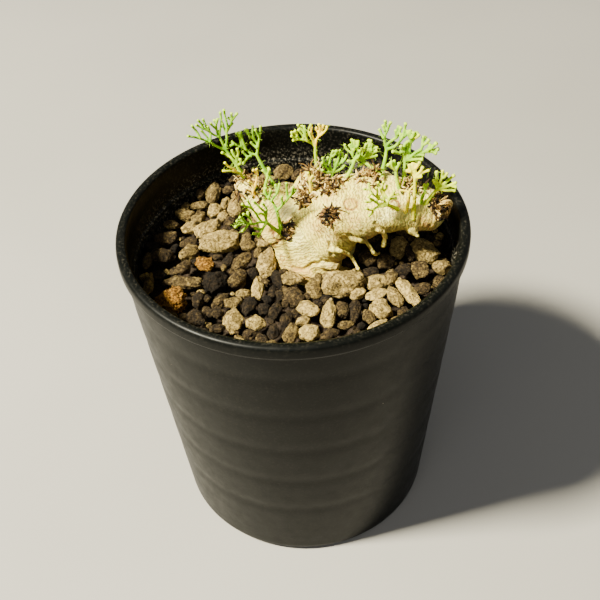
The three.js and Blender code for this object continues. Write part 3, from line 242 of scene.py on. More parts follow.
def finish(name, **sockets):
    """A new material, its node tree, its shader and the object's coordinates in millimetres."""
    material = bpy.data.materials.new(name)
    material.use_nodes = True
    tree = material.node_tree
    shader = tree.nodes["Principled BSDF"]
    for key, value in sockets.items():
        shader.inputs[key.replace("_", " ").title().replace("Ior", "IOR")].default_value = value
    place = node(tree, "ShaderNodeTexCoord").outputs["Object"]
    where = node(tree, "ShaderNodeMapping", {"Vector": place, "Scale": (1000, 1000, 1000)}).outputs["Vector"]
    return material, tree, shader, where


def cloudy(tree, where, scale, detail=3, roughness=0.55):
    """Soft random spots: how close they lie, how many finer ones they hold and how strong those are."""
    settings = {"Vector": where, "Scale": scale, "Detail": detail, "Roughness": roughness}
    return node(tree, "ShaderNodeTexNoise", settings).outputs[0]


def levelled(tree, value, low, high, to_low=0, to_high=1):
    """The value stretched from one range to another and held inside it."""
    return node(tree, "ShaderNodeMapRange", {0: value, 1: low, 2: high, 3: to_low, 4: to_high}).outputs[0]


def reckoned(tree, operation, a, b):
    return node(tree, "ShaderNodeMath", {0: a, 1: b}, operation=operation).outputs[0]


def mixed(tree, factor, a, b, blend="MIX"):
    return node(tree, "ShaderNodeMix", {0: factor, 6: a, 7: b}, data_type="RGBA", blend_type=blend).outputs[2]


def read(tree, name):
    """A number kept on the mesh's points."""
    return node(tree, "ShaderNodeAttribute", attribute_name=name).outputs["Fac"]


def ramped(tree, factor, stops):
    """Colours that follow a number: rows of where on the way and which colour."""
    ramp = node(tree, "ShaderNodeValToRGB", {0: factor})
    elements = ramp.color_ramp.elements
    while len(elements) < len(stops):
        elements.new(0.5)
    for element, (place, code) in zip(elements, stops):
        element.position = place
        element.color = shade(code)
    return ramp.outputs[0]


def raised(tree, shader, height, distance, strength=1.0):
    """Small relief in the surface: how high, in millimetres."""
    bump = node(tree, "ShaderNodeBump", {"Height": height, "Distance": distance * MM, "Strength": strength})
    tree.links.new(bump.outputs[0], shader.inputs["Normal"])


def plastic_finish():
    material, tree, shader, where = finish("black_plastic", specular_ior_level=0.09)
    mottle = cloudy(tree, where, 0.09, 4)
    plain = ramped(tree, mottle, PLASTIC_TONES)
    specks = node(tree, "ShaderNodeTexVoronoi", {"Vector": where, "Scale": 0.42, "Randomness": 1})
    size = levelled(tree, specks.outputs["Color"], 0.72, 1, 0, 0.085)
    speck = levelled(tree, reckoned(tree, "SUBTRACT", size, specks.outputs["Distance"]), 0, 0.02)
    film = levelled(tree, cloudy(tree, where, 1.7, 5, 0.7), 0.52, 0.78, 0, 1)
    dusty = reckoned(tree, "MULTIPLY", film, read(tree, "dust"))
    covered = reckoned(tree, "MAXIMUM", reckoned(tree, "MULTIPLY", speck, 0.55), dusty)
    tree.links.new(mixed(tree, covered, plain, shade(DUST_COLOUR)), shader.inputs["Base Color"])
    worn = levelled(tree, cloudy(tree, where, 0.35, 5, 0.65), 0.3, 0.75, 0.33, 0.46)
    dulled = reckoned(tree, "ADD", worn, reckoned(tree, "MULTIPLY", covered, 0.4))
    tree.links.new(dulled, shader.inputs["Roughness"])
    raised(tree, shader, cloudy(tree, where, 2.2, 4), 0.02, 0.5)
    return material


pot = made("pot_turned", *turned(pot_profile(), POT_SIDES))
drill_points, drill_faces = [], []
for i in range(DRAIN_COUNT):
    turn = 2 * math.pi * (i + 0.5) / DRAIN_COUNT
    profile = [(0, -FLOOR_TOP), (DRAIN_RADIUS, -FLOOR_TOP), (DRAIN_RADIUS, 2 * FLOOR_TOP), (0, 2 * FLOOR_TOP)]
    points, faces = turned(profile, DRAIN_SIDES)
    start = len(drill_points)
    across = np.array([DRAIN_CIRCLE * math.cos(turn), DRAIN_CIRCLE * math.sin(turn), 0])
    drill_points.extend(np.array(points) + across)
    drill_faces.extend(tuple(start + k for k in face) for face in faces)
drill = made("drain_drill", drill_points, drill_faces)
holes = pot.modifiers.new("drain_holes", "BOOLEAN")
holes.operation = "DIFFERENCE"
holes.object = drill
settled(pot)
bpy.data.objects.remove(drill)
pot.data.shade_smooth()
pot.data.set_sharp_from_angle(angle=math.radians(POT_SHARP_ANGLE))
place = points_of(pot.data)
within = np.hypot(place[:, 0], place[:, 1]) < wall_radius(place[:, 2]) - DUST_EDGE
near_soil = bell((place[:, 2] - DUST_HEIGHT) / DUST_REACH)
mark(pot.data, "dust", np.where(within, DUST_INSIDE + DUST_NEAR_SOIL * near_soil, DUST_OUTSIDE))
pot.data.materials.append(plastic_finish())
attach(pot, BODY)
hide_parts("pot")

# The gravel
# A bed of rough fired-clay and pumice stones, tan, brown and dark, with a few rust-coloured ones. The big
# ones lie where the photograph shows them, smaller ones settle between them, and fine grains and dark mix
# fill the gaps. The mix is darker than soil: painted shade deep in the gaps.

SOIL_LINE = 69
BED_FLOOR = -4.5
BED_LEVEL = 1.9
BED_SHOWN = -3.2
BED_REACH = 33.6
BED_SLACK = 0.6
STONES_CLOSE = 0.95
STONE_SMALLEST = 1.5
STONE_SPREAD = 1.8
STONE_FAVOUR_SMALL = 1.7
STONE_TRIES = 60
STONE_PATIENCE = 300
LEAN_LAID = 0.3
LEAN_LOOSE = 0.7
# Half length, width and height of a loose stone of radius one: the least, and how much more it may be.
LOOSE_SIZES = ((1.02, 0.2), (0.84, 0.14), (0.68, 0.14))
BED_SEED = 7
CROWN_PLACE = (3.7, 1.6)
CROWN_RADIUS = 7.4
CROWN_OVERLAP = 0.4
FILLER_COUNT = 520
FILLER_SMALLEST = 0.8
FILLER_SPREAD = 0.9
FILLER_LEVEL = 1.3
FILLER_TRIES = 40
GRAIN_COUNT = 520
GRAIN_SMALLEST = 0.4
GRAIN_SPREAD = 0.55
GRAIN_LEVEL = 0.6
GRAIN_TRIES = 24
SEED_COUNT = 1e6
BLOCK_SIZE = 1.3
STONE_SHARPNESS = 26
STONE_CUTS = 5
STONE_DENTS = 3
STONE_SIDE_TILT = 0.7
NOISE_SHIFT = 97
WALL_CLEARANCE = 0.15
SMALL_KINDS = 18
GRAIN_KINDS = 6
FINE_ABOVE = 2.8
# How often the ball that a stone is cut from is divided.
FINEST, FINE, PLAIN, COARSE = 5, 4, 3, 2
LAID_SEED = 33
LAID_KIND_SEED = 500
SMALL_KIND_SEED = 300
GRAIN_KIND_SEED = 400
TONE_SEED = 21
# Tones from dark to light; rust has its own colours.
DARK, BROWN, TAN, LIGHT, RUST = 0.08, 0.36, 0.62, 0.88, -1
TONE_SHARES = ((0.26, DARK), (0.58, BROWN), (0.84, TAN), (1, LIGHT))
TONE_SPREAD = 0.12
GRAINS_DARKER = 0.06
RUST_SHARE = 0.02
RUST_CRUMBLE = 2.4
STONE_TONES = ((0.0, "130f0a"), (0.25, "261e14"), (0.5, "4a3c24"), (0.75, "7e6a3b"), (1, "baa05d"))
RUST_TONES = ((0.32, "2a1a08"), (0.45, "5e3e12"), (0.56, "946822"), (0.7, "d0a858"))
# Browns for the mix under the stones, darker than soil: painted shade for the deep gaps.
MIX_AND_GAP_SHADE_TONES = ((0.35, "15110d"), (0.6, "3a3026"), (0.75, "5c4d3b"))
MIX_RINGS = 44
MIX_SIDES = 128
MIX_CLEARANCE = 0.35
MIX_BEVEL = 1.4
MIX_ROUGHNESS = 0.7

# The stones that show: middle on the bed, its height, half length, half width, half height, turn in
# degrees, tone. Each tone holds the stone's own colour and the light and shade it lies in: painted light
# and painted shade.
LAID_STONES = [
    (10, -9.5, 0.9, 4.8, 3.6, 2.8, 5, 0.82),
    (-26.5, -11.7, 0.5, 3.7, 3.6, 2.5, 162, RUST),
    (-16.7, 6.1, 0.8, 4.9, 3, 2.5, 14, 0.88),
    # Painted light: a stone in the long limb's shadow, its tone raised to stand for fill light.
    (28.7, -0.4, 0.5, 4.5, 2.8, 2.2, 112, 0.85),
    (-6.1, -1.2, 0.3, 4.4, 2.2, 1.8, 80, 0.86),
    (-17.2, -5.8, 0, 3.3, 2.8, 2.1, 61, 0.12),
    (-12.8, 18.6, 0.6, 4, 2.3, 1.8, 82, 0.85),
    (23.5, -13, 0.4, 4.8, 1.7, 1.4, 110, 0.96),
    (-19.4, 11.4, 0.6, 3.3, 2.6, 1.9, 34, 0.88),
    (-24.2, -6.2, 0.4, 4.6, 1.8, 1.3, 168, 0.5),
    # Painted light: a stone in the long limb's shadow, its tone raised to stand for fill light.
    (23.2, 1.6, 0.3, 3.6, 2.1, 1.7, 66, 0.85),
    (-13.2, -18.6, 0.6, 3.2, 2.3, 1.9, 84, 0.8),
    (-29.2, 3, 0.3, 3, 2.4, 1.7, 173, 0.36),
    (6.4, -18.1, 0.4, 3.9, 1.7, 1.4, 81, 0.92),
    (-1.5, 32, 0.3, 2.8, 2.5, 1.8, 37, 0.62),
    (-18.6, 25.2, 0.3, 3.5, 2, 1.6, 82, 0.6),
    (-11.6, -0.4, 0.4, 3.5, 1.8, 1.4, 55, 0.5),
    (-0.8, -12.6, 0.3, 2.9, 2.2, 1.6, 131, 0.42),
    (17.2, -9.2, 0.3, 2.6, 2.3, 1.6, 5, 0.84),
    (-28.9, 9.3, 0.3, 2.9, 2.1, 1.5, 174, 0.4),
    (-12.4, -5.9, 0.3, 2.9, 2, 1.6, 68, 0.46),
    (16, -1.4, 0.3, 2.5, 2.3, 1.7, 92, 0.44),
    (17.4, -17.5, 0.3, 2.6, 2.3, 1.6, 171, 0.9),
    (26.8, -6.6, 0.3, 2.6, 2.1, 1.7, 80, 0.55),
    (2.1, -23.2, 0.3, 2.5, 2.3, 1.7, 93, 0.94),
    (-19.7, -0.5, 0.3, 2.8, 2, 1.6, 116, RUST),
    (2.2, -16.3, 0.3, 2.7, 2.1, 1.5, 138, 0.92),
    (11.8, -17.7, 0.4, 3.6, 1.4, 1.2, 84, 0.28),
    (20.5, -14.4, 0.4, 3.3, 1.6, 1.3, 107, 0.74),
    (-0.6, -6.9, 0.4, 2.6, 2, 1.4, 174, 0.76),
    (-8.2, -9.1, 0.4, 3.5, 1.5, 1.2, 86, 0.92),
    (-23.4, 3.6, 0.4, 2.8, 1.9, 1.4, 36, 0.66),
    (-16.1, -12.5, 0.4, 3.2, 1.4, 1.1, 67, 0.45),
    (3.6, -10.7, 0.4, 2.8, 1.7, 1.4, 99, 0.68),
    (-10.1, -14.2, -0.1, 2.8, 1.6, 1.3, 69, 0.16),
    (31.6, -5.8, 0.4, 2.2, 2.1, 1.5, 151, 0.72),
    (-31.6, -6.1, 0.4, 3.4, 1.2, 1, 84, 0.6),
    (-1.7, -23.2, 0.4, 2.8, 1.6, 1.3, 76, 0.6),
    (2.3, 30.3, 0.3, 2.2, 2, 1.5, 95, 0.42),
    (-20.8, -17.1, 0.4, 2.2, 2, 1.4, 171, 0.26),
    (-23.5, 12.4, 0.4, 2.4, 1.9, 1.4, 48, 0.8),
    (9.4, -16.9, 0.4, 3, 1.4, 1.2, 94, 0.46),
    (-24.3, -1, 0.4, 2.6, 1.7, 1.3, 71, 0.42),
    (19.5, -3.1, 0.4, 2.1, 2, 1.4, 132, 0.44),
    (-2.5, -19.5, 0.4, 2.9, 1.4, 1.1, 76, 0.24),
    (-8.6, -19.7, 0.4, 2.2, 1.9, 1.3, 160, 0.86),
    (20.4, -8.1, 0.4, 2.8, 1.5, 1.2, 75, 0.62),
    (-18, 18.2, 0.4, 2.2, 1.8, 1.4, 57, 0.85),
    (-3.9, -6.3, -0.1, 2.9, 1.3, 1.1, 104, 0.16),
    (-16.2, 15.3, 0.4, 2.9, 1.3, 1.1, 75, 0.85),
    (16.8, -13.5, 0.4, 2.6, 1.5, 1.1, 8, 0.96),
    (-4.6, -16.4, 0.4, 2.6, 1.4, 1.1, 72, 0.24),
    (-25.1, 17.5, 0.4, 2.3, 1.6, 1.2, 165, 0.66),
    (-20.8, -11.8, 0.4, 2.6, 1.3, 1.1, 82, 0.25),
    (-32.5, 1.6, 0.4, 2.7, 1.2, 1, 88, 0.45),
    (26.5, -12.3, 0.4, 1.9, 1.8, 1.3, 162, 0.42),
    (-23.6, 6.9, 0.4, 2.1, 1.7, 1.2, 4, 0.38),
    (12.9, -12.4, 0.4, 2, 1.7, 1.3, 59, 0.88),
    (-1.1, 25.9, 0.4, 2.2, 1.6, 1.1, 174, 0.75),
    (6.1, -23.9, 0.4, 2.4, 1.4, 1, 27, 0.4),
    (-10.2, 4.7, 0.4, 1.9, 1.7, 1.2, 171, 0.6),
    (25.4, -0.7, 0.4, 2.6, 1.2, 1, 88, 0.32),
    (18.4, 2, 0.4, 1.9, 1.7, 1.2, 171, 0.3),
    (-14.7, 1, -0.1, 2.3, 1.4, 1.1, 69, 0.2),
    (14.5, -19.7, 0.4, 2.4, 1.3, 1, 107, 0.5),
    (-21.9, 20.6, 0.4, 2.3, 1.4, 1, 175, 0.6),
    (-5.2, -22.2, -0.1, 2.2, 1.3, 1.1, 82, 0.2),
    (15.7, -22.4, 0.4, 2.9, 1, 0.7, 33, 0.98),
    (23.2, -6.2, 0.4, 1.8, 1.6, 1.1, 171, 0.24),
    (-13.3, -13.3, 0.4, 2, 1.5, 1, 12, 0.62),
    (-29.9, -2.9, -0.1, 1.9, 1.5, 1.1, 173, 0.15),
    (-27.8, 13.8, 0.4, 2.1, 1.4, 1, 174, 0.5),
    (16.1, -5.8, 0.4, 2, 1.4, 1, 174, 0.26),
    (11.6, -2.5, 0.4, 1.8, 1.5, 1.1, 172, 0.25),
    (30.5, -10.5, 0.4, 1.6, 1.6, 1.1, 101, 0.45),
    (-10.6, 7.6, 0.4, 1.6, 1.6, 1.1, 137, 0.62),
    (-14.6, 13.7, 0.4, 1.6, 1.5, 1.1, 94, 0.4),
    (-6.9, -15.1, -0.1, 1.6, 1.5, 1.1, 122, 0.1),
    (-9.2, -3.7, -0.1, 1.6, 1.5, 1.1, 28, 0.18),
    (-16.7, -16, 0.4, 1.6, 1.5, 1.1, 156, 0.38),
    (22, 4.4, 0.4, 1.9, 1.3, 0.9, 174, 0.26),
    (-15.7, 20.9, 0.4, 2.4, 1, 0.8, 78, 0.8),
    (-21.6, 25, 0.4, 2.1, 1.1, 0.9, 85, 0.42),
    (-3.4, -11.6, 0.4, 1.8, 1.2, 1, 83, 0.26),
    (-11.3, -10.7, 0.4, 1.6, 1.4, 1, 22, 0.72),
    (-12.8, 23.8, 0.4, 1.6, 1.4, 1, 19, 0.7),
    (1, -19.9, 0.4, 1.8, 1.2, 0.9, 25, 0.86),
    (-16.6, -20.4, 0.4, 1.7, 1.2, 0.9, 174, 0.36),
    (-15, 26, 0.4, 1.6, 1.3, 0.9, 173, 0.45),
    (-10, -22.6, 0.4, 1.5, 1.3, 0.9, 172, 0.36),
    (9.7, -21.7, 0.4, 1.8, 1.1, 0.8, 3, 0.58),
    (-8, 2.4, 0.4, 1.7, 1, 0.8, 82, 0.62),
    (-5.1, -10, -0.1, 1.8, 0.9, 0.7, 82, 0.18),
]
# The pebbles between them, in the same way.
PEBBLES = [
    (-13.4, 9.6, 0.4, 1.4, 1.2, 0.8, 172, 0.65),
    (-17.1, 1.5, 0.4, 1.4, 1.1, 0.8, 174, 0.32),
    (-21.3, 16.9, 0.4, 1.2, 1.2, 0.8, 133, 0.5),
    (-26.2, -2.6, 0.4, 1.2, 1.2, 0.8, 165, 0.45),
    (6.2, -14.2, 0.4, 1.2, 1.1, 0.8, 167, 0.32),
    (-19.3, -20.6, -0.1, 1.2, 1.1, 0.8, 172, 0.15),
    (4.2, -15.2, 0.4, 1.1, 1.1, 0.8, 165, 0.26),
    (-0.7, -17.6, 0.4, 1.2, 1, 0.8, 91, 0.3),
    (-5.5, -19.3, 0.4, 1.2, 0.9, 0.8, 89, 0.25),
    (31.8, 2.1, 0.4, 1.1, 1, 0.7, 168, 0.5),
    (-18.1, -15.9, 0.4, 1.1, 0.9, 0.8, 90, 0.3),
    (-18.9, -11.4, 0.4, 1, 1, 0.7, 93, 0.35),
    (-6.6, -7.4, 0.5, 1.3, 0.8, 0.6, 142, 0.5),
    (2.2, -12.5, 0.4, 1, 0.9, 0.7, 93, 0.38),
    (-2.5, -14.5, 0.4, 1, 0.9, 0.7, 102, 0.3),
    (-22.2, 0.9, 0, 1, 0.9, 0.6, 170, 0.2),
    (-15.5, -2.2, 0.5, 1.1, 0.7, 0.6, 88, 0.6),
    (-15.5, 10.8, 0.5, 0.9, 0.9, 0.6, 168, 0.4),
    (-13.9, -3.3, 0.5, 0.8, 0.7, 0.6, 91, 0.4),
]


def seeded(seed):
    """Numbers from 0 to 1 that are the same at every run."""
    whole = 0xFFFFFFFF
    state = seed & whole

    def draw():
        nonlocal state
        state = (state + 0x6D2B79F5) & whole
        t = ((state ^ (state >> 15)) * (state | 1)) & whole
        t ^= (t + (((t ^ (t >> 7)) * (t | 61)) & whole)) & whole
        return (t ^ (t >> 14)) / (whole + 1)

    return draw


def new_seed(draw):
    return 1 + math.floor(SEED_COUNT * draw())


def rounded(stones):
    """The places of laid stones, each with its radius as a ball."""
    return [(x, y, z, (long + wide) / 2) for x, y, z, long, wide, *_ in stones]


def stones_in_bed():
    """Rows of place, radius and seed: the laid stones first, then loose ones from the floor of the bed up."""
    draw = seeded(BED_SEED)
    rows = [(*ball, new_seed(draw)) for ball in rounded(LAID_STONES)]
    lying = np.array(rounded(LAID_STONES))

    def settle(radius, tries, draw):
        best = None
        for _ in range(tries):
            out = (BED_REACH + BED_SLACK - radius) * math.sqrt(draw())
            turn = 2 * math.pi * draw()
            x, y = out * math.cos(turn), out * math.sin(turn)
            aside = math.hypot(x - CROWN_PLACE[0], y - CROWN_PLACE[1])
            if aside < CROWN_RADIUS + CROWN_OVERLAP * radius:
                continue
            reach = (radius + lying[:, 3]) * STONES_CLOSE
            apart = (x - lying[:, 0]) ** 2 + (y - lying[:, 1]) ** 2
            near = apart < reach * reach
            rest = lying[near, 2] + np.sqrt(reach[near] ** 2 - apart[near])
            z = max(BED_FLOOR + radius, rest.max(initial=-1e9))
            if best is None or z < best[2]:
                best = (x, y, z, radius)
        return best

    misses = 0
    while misses < STONE_PATIENCE:
        radius = STONE_SMALLEST + STONE_SPREAD * draw() ** STONE_FAVOUR_SMALL
        best = settle(radius, STONE_TRIES, draw)
        if best is None or best[2] + radius > BED_LEVEL:
            misses += 1
            continue
        rows.append((*best, new_seed(draw)))
        lying = np.vstack([lying, best])
    lying = np.vstack([lying, rounded(PEBBLES)])
    fillers, grains = [], []
    for rows_of, seed, count, smallest, spread, level, tries in (
        (fillers, BED_SEED + 2, FILLER_COUNT, FILLER_SMALLEST, FILLER_SPREAD, FILLER_LEVEL, FILLER_TRIES),
        (grains, BED_SEED + 1, GRAIN_COUNT, GRAIN_SMALLEST, GRAIN_SPREAD, GRAIN_LEVEL, GRAIN_TRIES),
    ):
        size_draw = seeded(seed)
        for _ in range(count):
            radius = smallest + spread * size_draw() ** 2
            best = settle(radius, tries, size_draw)
            if best is not None and best[2] + radius < level:
                rows_of.append((*best, new_seed(size_draw)))
                lying = np.vstack([lying, best])
    return rows, fillers, grains


def rough_stone(name, seed, is_block, fineness, crumble=1.0):
    """A stone two units long each way: flat broken faces with worn edges, dents, lumps and a pitted skin."""
    draw = seeded(seed)
    form = bmesh.new()
    if is_block:
        bmesh.ops.create_cube(form, size=BLOCK_SIZE)
    else:
        bmesh.ops.create_icosphere(form, subdivisions=1, radius=1)
    for corner in form.verts:
        corner.co *= 0.9 + 0.3 * draw()
    bmesh.ops.convex_hull(form, input=form.verts)
    form.normal_update()
    planes = [(np.array(face.normal), face.normal.dot(face.verts[0].co)) for face in form.faces]
    form.clear()

    def random_way():
        way = np.array([draw() - 0.5, draw() - 0.5, draw() - 0.5])
        return way / np.linalg.norm(way)

    planes.extend((random_way(), 0.66 + 0.18 * draw()) for _ in range(STONE_CUTS))
    for side in ((1, 0, 0), (-1, 0, 0), (0, 1, 0), (0, -1, 0)):
        tilted = np.array(side) + STONE_SIDE_TILT * random_way()
        planes.append((tilted / np.linalg.norm(tilted), 0.76 + 0.16 * draw()))
    normals = np.array([normal for normal, _ in planes])
    depths = np.array([depth for _, depth in planes])
    dents = [(random_way(), 0.08 + 0.12 * draw(), 0.35 + 0.3 * draw()) for _ in range(STONE_DENTS)]
    shift = Vector([NOISE_SHIFT * draw() for _ in range(3)])
    bmesh.ops.create_icosphere(form, subdivisions=fineness, radius=1)
    for point in form.verts:
        way = np.array(point.co.normalized())
        facing = np.maximum(normals @ way, 0) / depths
        radius = np.sum(facing**STONE_SHARPNESS) ** (-1 / STONE_SHARPNESS)
        for dent_way, depth, width in dents:
            radius -= depth * math.exp(-((math.acos(min(1, way @ dent_way)) / width) ** 2))
        spot = Vector(way) * radius + shift
        lumps = noise.noise(spot * 1.7) * 0.14 + noise.noise(spot * 3.7) * 0.085 * crumble
        creases = (abs(noise.noise(spot * 7.5)) - 0.2) * 0.11 * crumble
        lumps += creases + noise.noise(spot * 13) * 0.05 * crumble
        pit = max(0, 0.34 - noise.voronoi(spot * 3.4)[0][0]) * 0.2 * crumble
        point.co = Vector(way) * (radius * (1 + lumps - pit))
    mesh = bpy.data.meshes.new(name)
    form.to_mesh(mesh)
    form.free()
    place = points_of(mesh)
    low, high = place.min(axis=0), place.max(axis=0)
    mesh.vertices.foreach_set("co", ((2 * place - low - high) / (high - low)).ravel())
    mesh.shade_smooth()
    return bpy.data.objects.new(name, mesh)


def new_tree(name, **sizes):
    """A Geometry Nodes tree with its named sizes, and the nodes for what goes in and comes out."""
    tree = bpy.data.node_groups.new(name, "GeometryNodeTree")
    kinds = {float: "NodeSocketFloat", int: "NodeSocketInt"}
    tree.interface.new_socket("Geometry", in_out="INPUT", socket_type="NodeSocketGeometry")
    for key, kind in sizes.items():
        socket_type = kinds.get(kind, kind)
        tree.interface.new_socket(key.replace("_", " ").title(), in_out="INPUT", socket_type=socket_type)
    tree.interface.new_socket("Geometry", in_out="OUTPUT", socket_type="NodeSocketGeometry")
    return tree, tree.nodes.new("NodeGroupInput").outputs, tree.nodes.new("NodeGroupOutput").inputs


def grown(thing, tree, **sizes):
    """Runs a Geometry Nodes tree on an object with these sizes and keeps the result as its plain mesh."""
    modifier = thing.modifiers.new(tree.name, "NODES")
    modifier.node_group = tree
    for key, value in sizes.items():
        socket = tree.interface.items_tree[key.replace("_", " ").title()]
        modifier[socket.identifier] = value
    return settled(thing)


def kept(tree, name, kind="FLOAT"):
    """What a mesh's points keep under a name, inside a Geometry Nodes tree."""
    return node(tree, "GeometryNodeInputNamedAttribute", {"Name": name}, data_type=kind).outputs["Attribute"]


def realized(tree, geometry):
    return node(tree, "GeometryNodeRealizeInstances", {"Geometry": geometry}).outputs[0]


def coated(tree, geometry, material):
    return node(tree, "GeometryNodeSetMaterial", {"Geometry": geometry, "Material": material}).outputs[0]


def scattered(tree, points, thing, **settings):
    """A thing set on every point; the settings name its rotation, its scale and which thing it is."""
    inputs = {key.replace("_", " ").title(): value for key, value in settings.items()}
    inputs = {"Points": points, "Instance": thing, **inputs}
    return node(tree, "GeometryNodeInstanceOnPoints", inputs).outputs[0]


def gravel_tree(material):
    """Sets a stone of its kind, turn and size on every point, held inside the pot's wall."""
    tree, given, result = new_tree("gravel", kinds="NodeSocketCollection", wall_radius=float)
    kinds = node(
        tree,
        "GeometryNodeCollectionInfo",
        {"Collection": given["Kinds"], "Separate Children": True, "Reset Children": True},
    )
    laid = scattered(
        tree,
        given["Geometry"],
        kinds.outputs[0],
        pick_instance=True,
        instance_index=kept(tree, "kind", "INT"),
        rotation=kept(tree, "turn", "FLOAT_VECTOR"),
        scale=kept(tree, "size", "FLOAT_VECTOR"),
    )
    solid = realized(tree, laid)
    place = node(tree, "GeometryNodeInputPosition").outputs[0]
    level = node(tree, "ShaderNodeVectorMath", {0: place, 1: (1, 1, 0)}, operation="MULTIPLY").outputs[0]
    out = node(tree, "ShaderNodeVectorMath", {0: level}, operation="LENGTH").outputs["Value"]
    share = reckoned(tree, "MINIMUM", reckoned(tree, "DIVIDE", given["Wall Radius"], out), 1.0)
    hold = node(tree, "ShaderNodeCombineXYZ", {0: share, 1: share, 2: 1.0}).outputs[0]
    held = node(tree, "ShaderNodeVectorMath", {0: place, 1: hold}, operation="MULTIPLY").outputs[0]
    moved = node(tree, "GeometryNodeSetPosition", {"Geometry": solid, "Position": held}).outputs[0]
    tree.links.new(coated(tree, moved, material), result["Geometry"])
    return tree


def stone_finish():
    material, tree, shader, where = finish("gravel_stone", roughness=0.95, specular_ior_level=0.12)
    coarse = cloudy(tree, where, 0.5, 4, 0.6)
    fine = cloudy(tree, where, 1.9, 5, 0.75)
    tone = reckoned(tree, "ADD", read(tree, "tone"), levelled(tree, coarse, 0.3, 0.7, -0.14, 0.14))
    tone = reckoned(tree, "ADD", tone, levelled(tree, fine, 0.3, 0.7, -0.28, 0.28))
    body = ramped(tree, tone, STONE_TONES)
    rust = ramped(tree, fine, RUST_TONES)
    body = mixed(tree, read(tree, "rust"), body, rust)
    # Pits and thin creases: one mask sinks them in the relief and darkens their colour, painted shade.
    cells = node(tree, "ShaderNodeTexVoronoi", {"Vector": where, "Scale": 1.0})
    unlike = levelled(tree, cells.outputs["Color"], 0.3, 0.75, 0, 0.5)
    pits = reckoned(tree, "ADD", cells.outputs["Distance"], unlike)
    pitted = levelled(tree, pits, 0.16, 0.3, 0.3, 1)
    crease = reckoned(tree, "ABSOLUTE", reckoned(tree, "SUBTRACT", cloudy(tree, where, 0.85, 6, 0.7), 0.5), 0)
    pitted = reckoned(tree, "MULTIPLY", pitted, levelled(tree, crease, 0.004, 0.035, 0.45, 1))
    # Painted shade in the pits and creases, multiplied into the stone's colour.
    painted_pit_shade = node(tree, "ShaderNodeCombineColor", {0: pitted, 1: pitted, 2: pitted}).outputs[0]
    body = mixed(tree, 1.0, body, painted_pit_shade, "MULTIPLY")
    tree.links.new(body, shader.inputs["Base Color"])
    height = reckoned(tree, "ADD", fine, reckoned(tree, "MULTIPLY", pitted, 0.5))
    raised(tree, shader, height, 0.5)
    return material


def tumbled(rows):
    """Half sizes and turns of loose stones, from each stone's radius and seed."""
    sizes, turns = [], []
    for *_, r, seed in rows:
        draw = seeded(seed)
        sizes.append([r * (least + more * draw()) for least, more in LOOSE_SIZES])
        lean, tip, spin = LEAN_LOOSE * (draw() - 0.5), LEAN_LOOSE * (draw() - 0.5), 2 * math.pi * draw()
        turns.append(Euler((lean, tip, spin), "ZYX").to_matrix().to_euler("XYZ"))
    return sizes, turns


def lay_stones(name, rows, sizes, turns, tones, rusts, kinds, kind_of, material):
    """One piece of gravel: a stone on every row, of the given kinds."""
    bed = made(name, [(x, y, z + SOIL_LINE) for x, y, z, *_ in rows], [])
    for key, values in (("turn", turns), ("size", np.array(sizes) * MM)):
        bed.data.attributes.new(key, "FLOAT_VECTOR", "POINT").data.foreach_set("vector", np.ravel(values))
    bed.data.attributes.new("kind", "INT", "POINT").data.foreach_set("value", kind_of)
    mark(bed.data, "tone", tones)
    mark(bed.data, "rust", rusts)
    collection = bpy.data.collections.new(name + "_kinds")
    for kind in kinds:
        collection.objects.link(kind)
    wall = (inside_radius(SOIL_LINE) - WALL_CLEARANCE) * MM
    grown(bed, gravel_tree(material), kinds=collection, wall_radius=wall)
    for kind in kinds:
        bpy.data.objects.remove(kind)
    bpy.data.collections.remove(collection)
    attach(bed, BODY)
    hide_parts("gravel")


stone_material = stone_finish()
stone_rows, filler_rows, grain_rows = stones_in_bed()
tone_draw = seeded(TONE_SEED)


def random_tone():
    """Most stones are brown or tan, some dark, some light."""
    pick = tone_draw()
    base = next(tone for share, tone in TONE_SHARES if pick < share)
    return base + TONE_SPREAD * (tone_draw() - 0.5)


shown_stones = LAID_STONES + PEBBLES
laid_draw = seeded(LAID_SEED)
laid_kinds = []
laid_turns = []
for number, (_, _, _, long, _, _, turn, tone) in enumerate(shown_stones):
    lean, tip = LEAN_LAID * (laid_draw() - 0.5), LEAN_LAID * (laid_draw() - 0.5)
    laid_turns.append(Euler((lean, tip, math.radians(turn)), "ZYX").to_matrix().to_euler("XYZ"))
    fineness = FINEST if long > FINE_ABOVE else FINE
    crumble = RUST_CRUMBLE if tone == RUST else 1.0
    kind = rough_stone(f"laid_stone_{number:03}", LAID_KIND_SEED + number, False, fineness, crumble)
    laid_kinds.append(kind)
for name, is_fine in (("stones_big", True), ("stones_middle", False)):
    picks = [i for i, stone in enumerate(shown_stones) if (stone[3] > FINE_ABOVE) == is_fine]
    rows = [shown_stones[i] for i in picks]
    lay_stones(
        name,
        rows,
        [stone[3:6] for stone in rows],
        [laid_turns[i] for i in picks],
        [BROWN if stone[7] == RUST else stone[7] for stone in rows],
        [1.0 if stone[7] == RUST else 0.0 for stone in rows],
        [laid_kinds[i] for i in picks],
        range(len(rows)),
        stone_material,
    )

small_rows = [row for row in stone_rows[len(LAID_STONES) :] + filler_rows if row[2] + row[3] > BED_SHOWN]
small_kinds = [
    rough_stone(f"small_stone_{i:02}", SMALL_KIND_SEED + i, i % 3 == 0, PLAIN) for i in range(SMALL_KINDS)
]
lay_stones(
    "stones_small",
    small_rows,
    *tumbled(small_rows),
    [random_tone() for _ in small_rows],
    [1.0 if tone_draw() < RUST_SHARE else 0.0 for _ in small_rows],
    small_kinds,
    [row[4] % SMALL_KINDS for row in small_rows],
    stone_material,
)

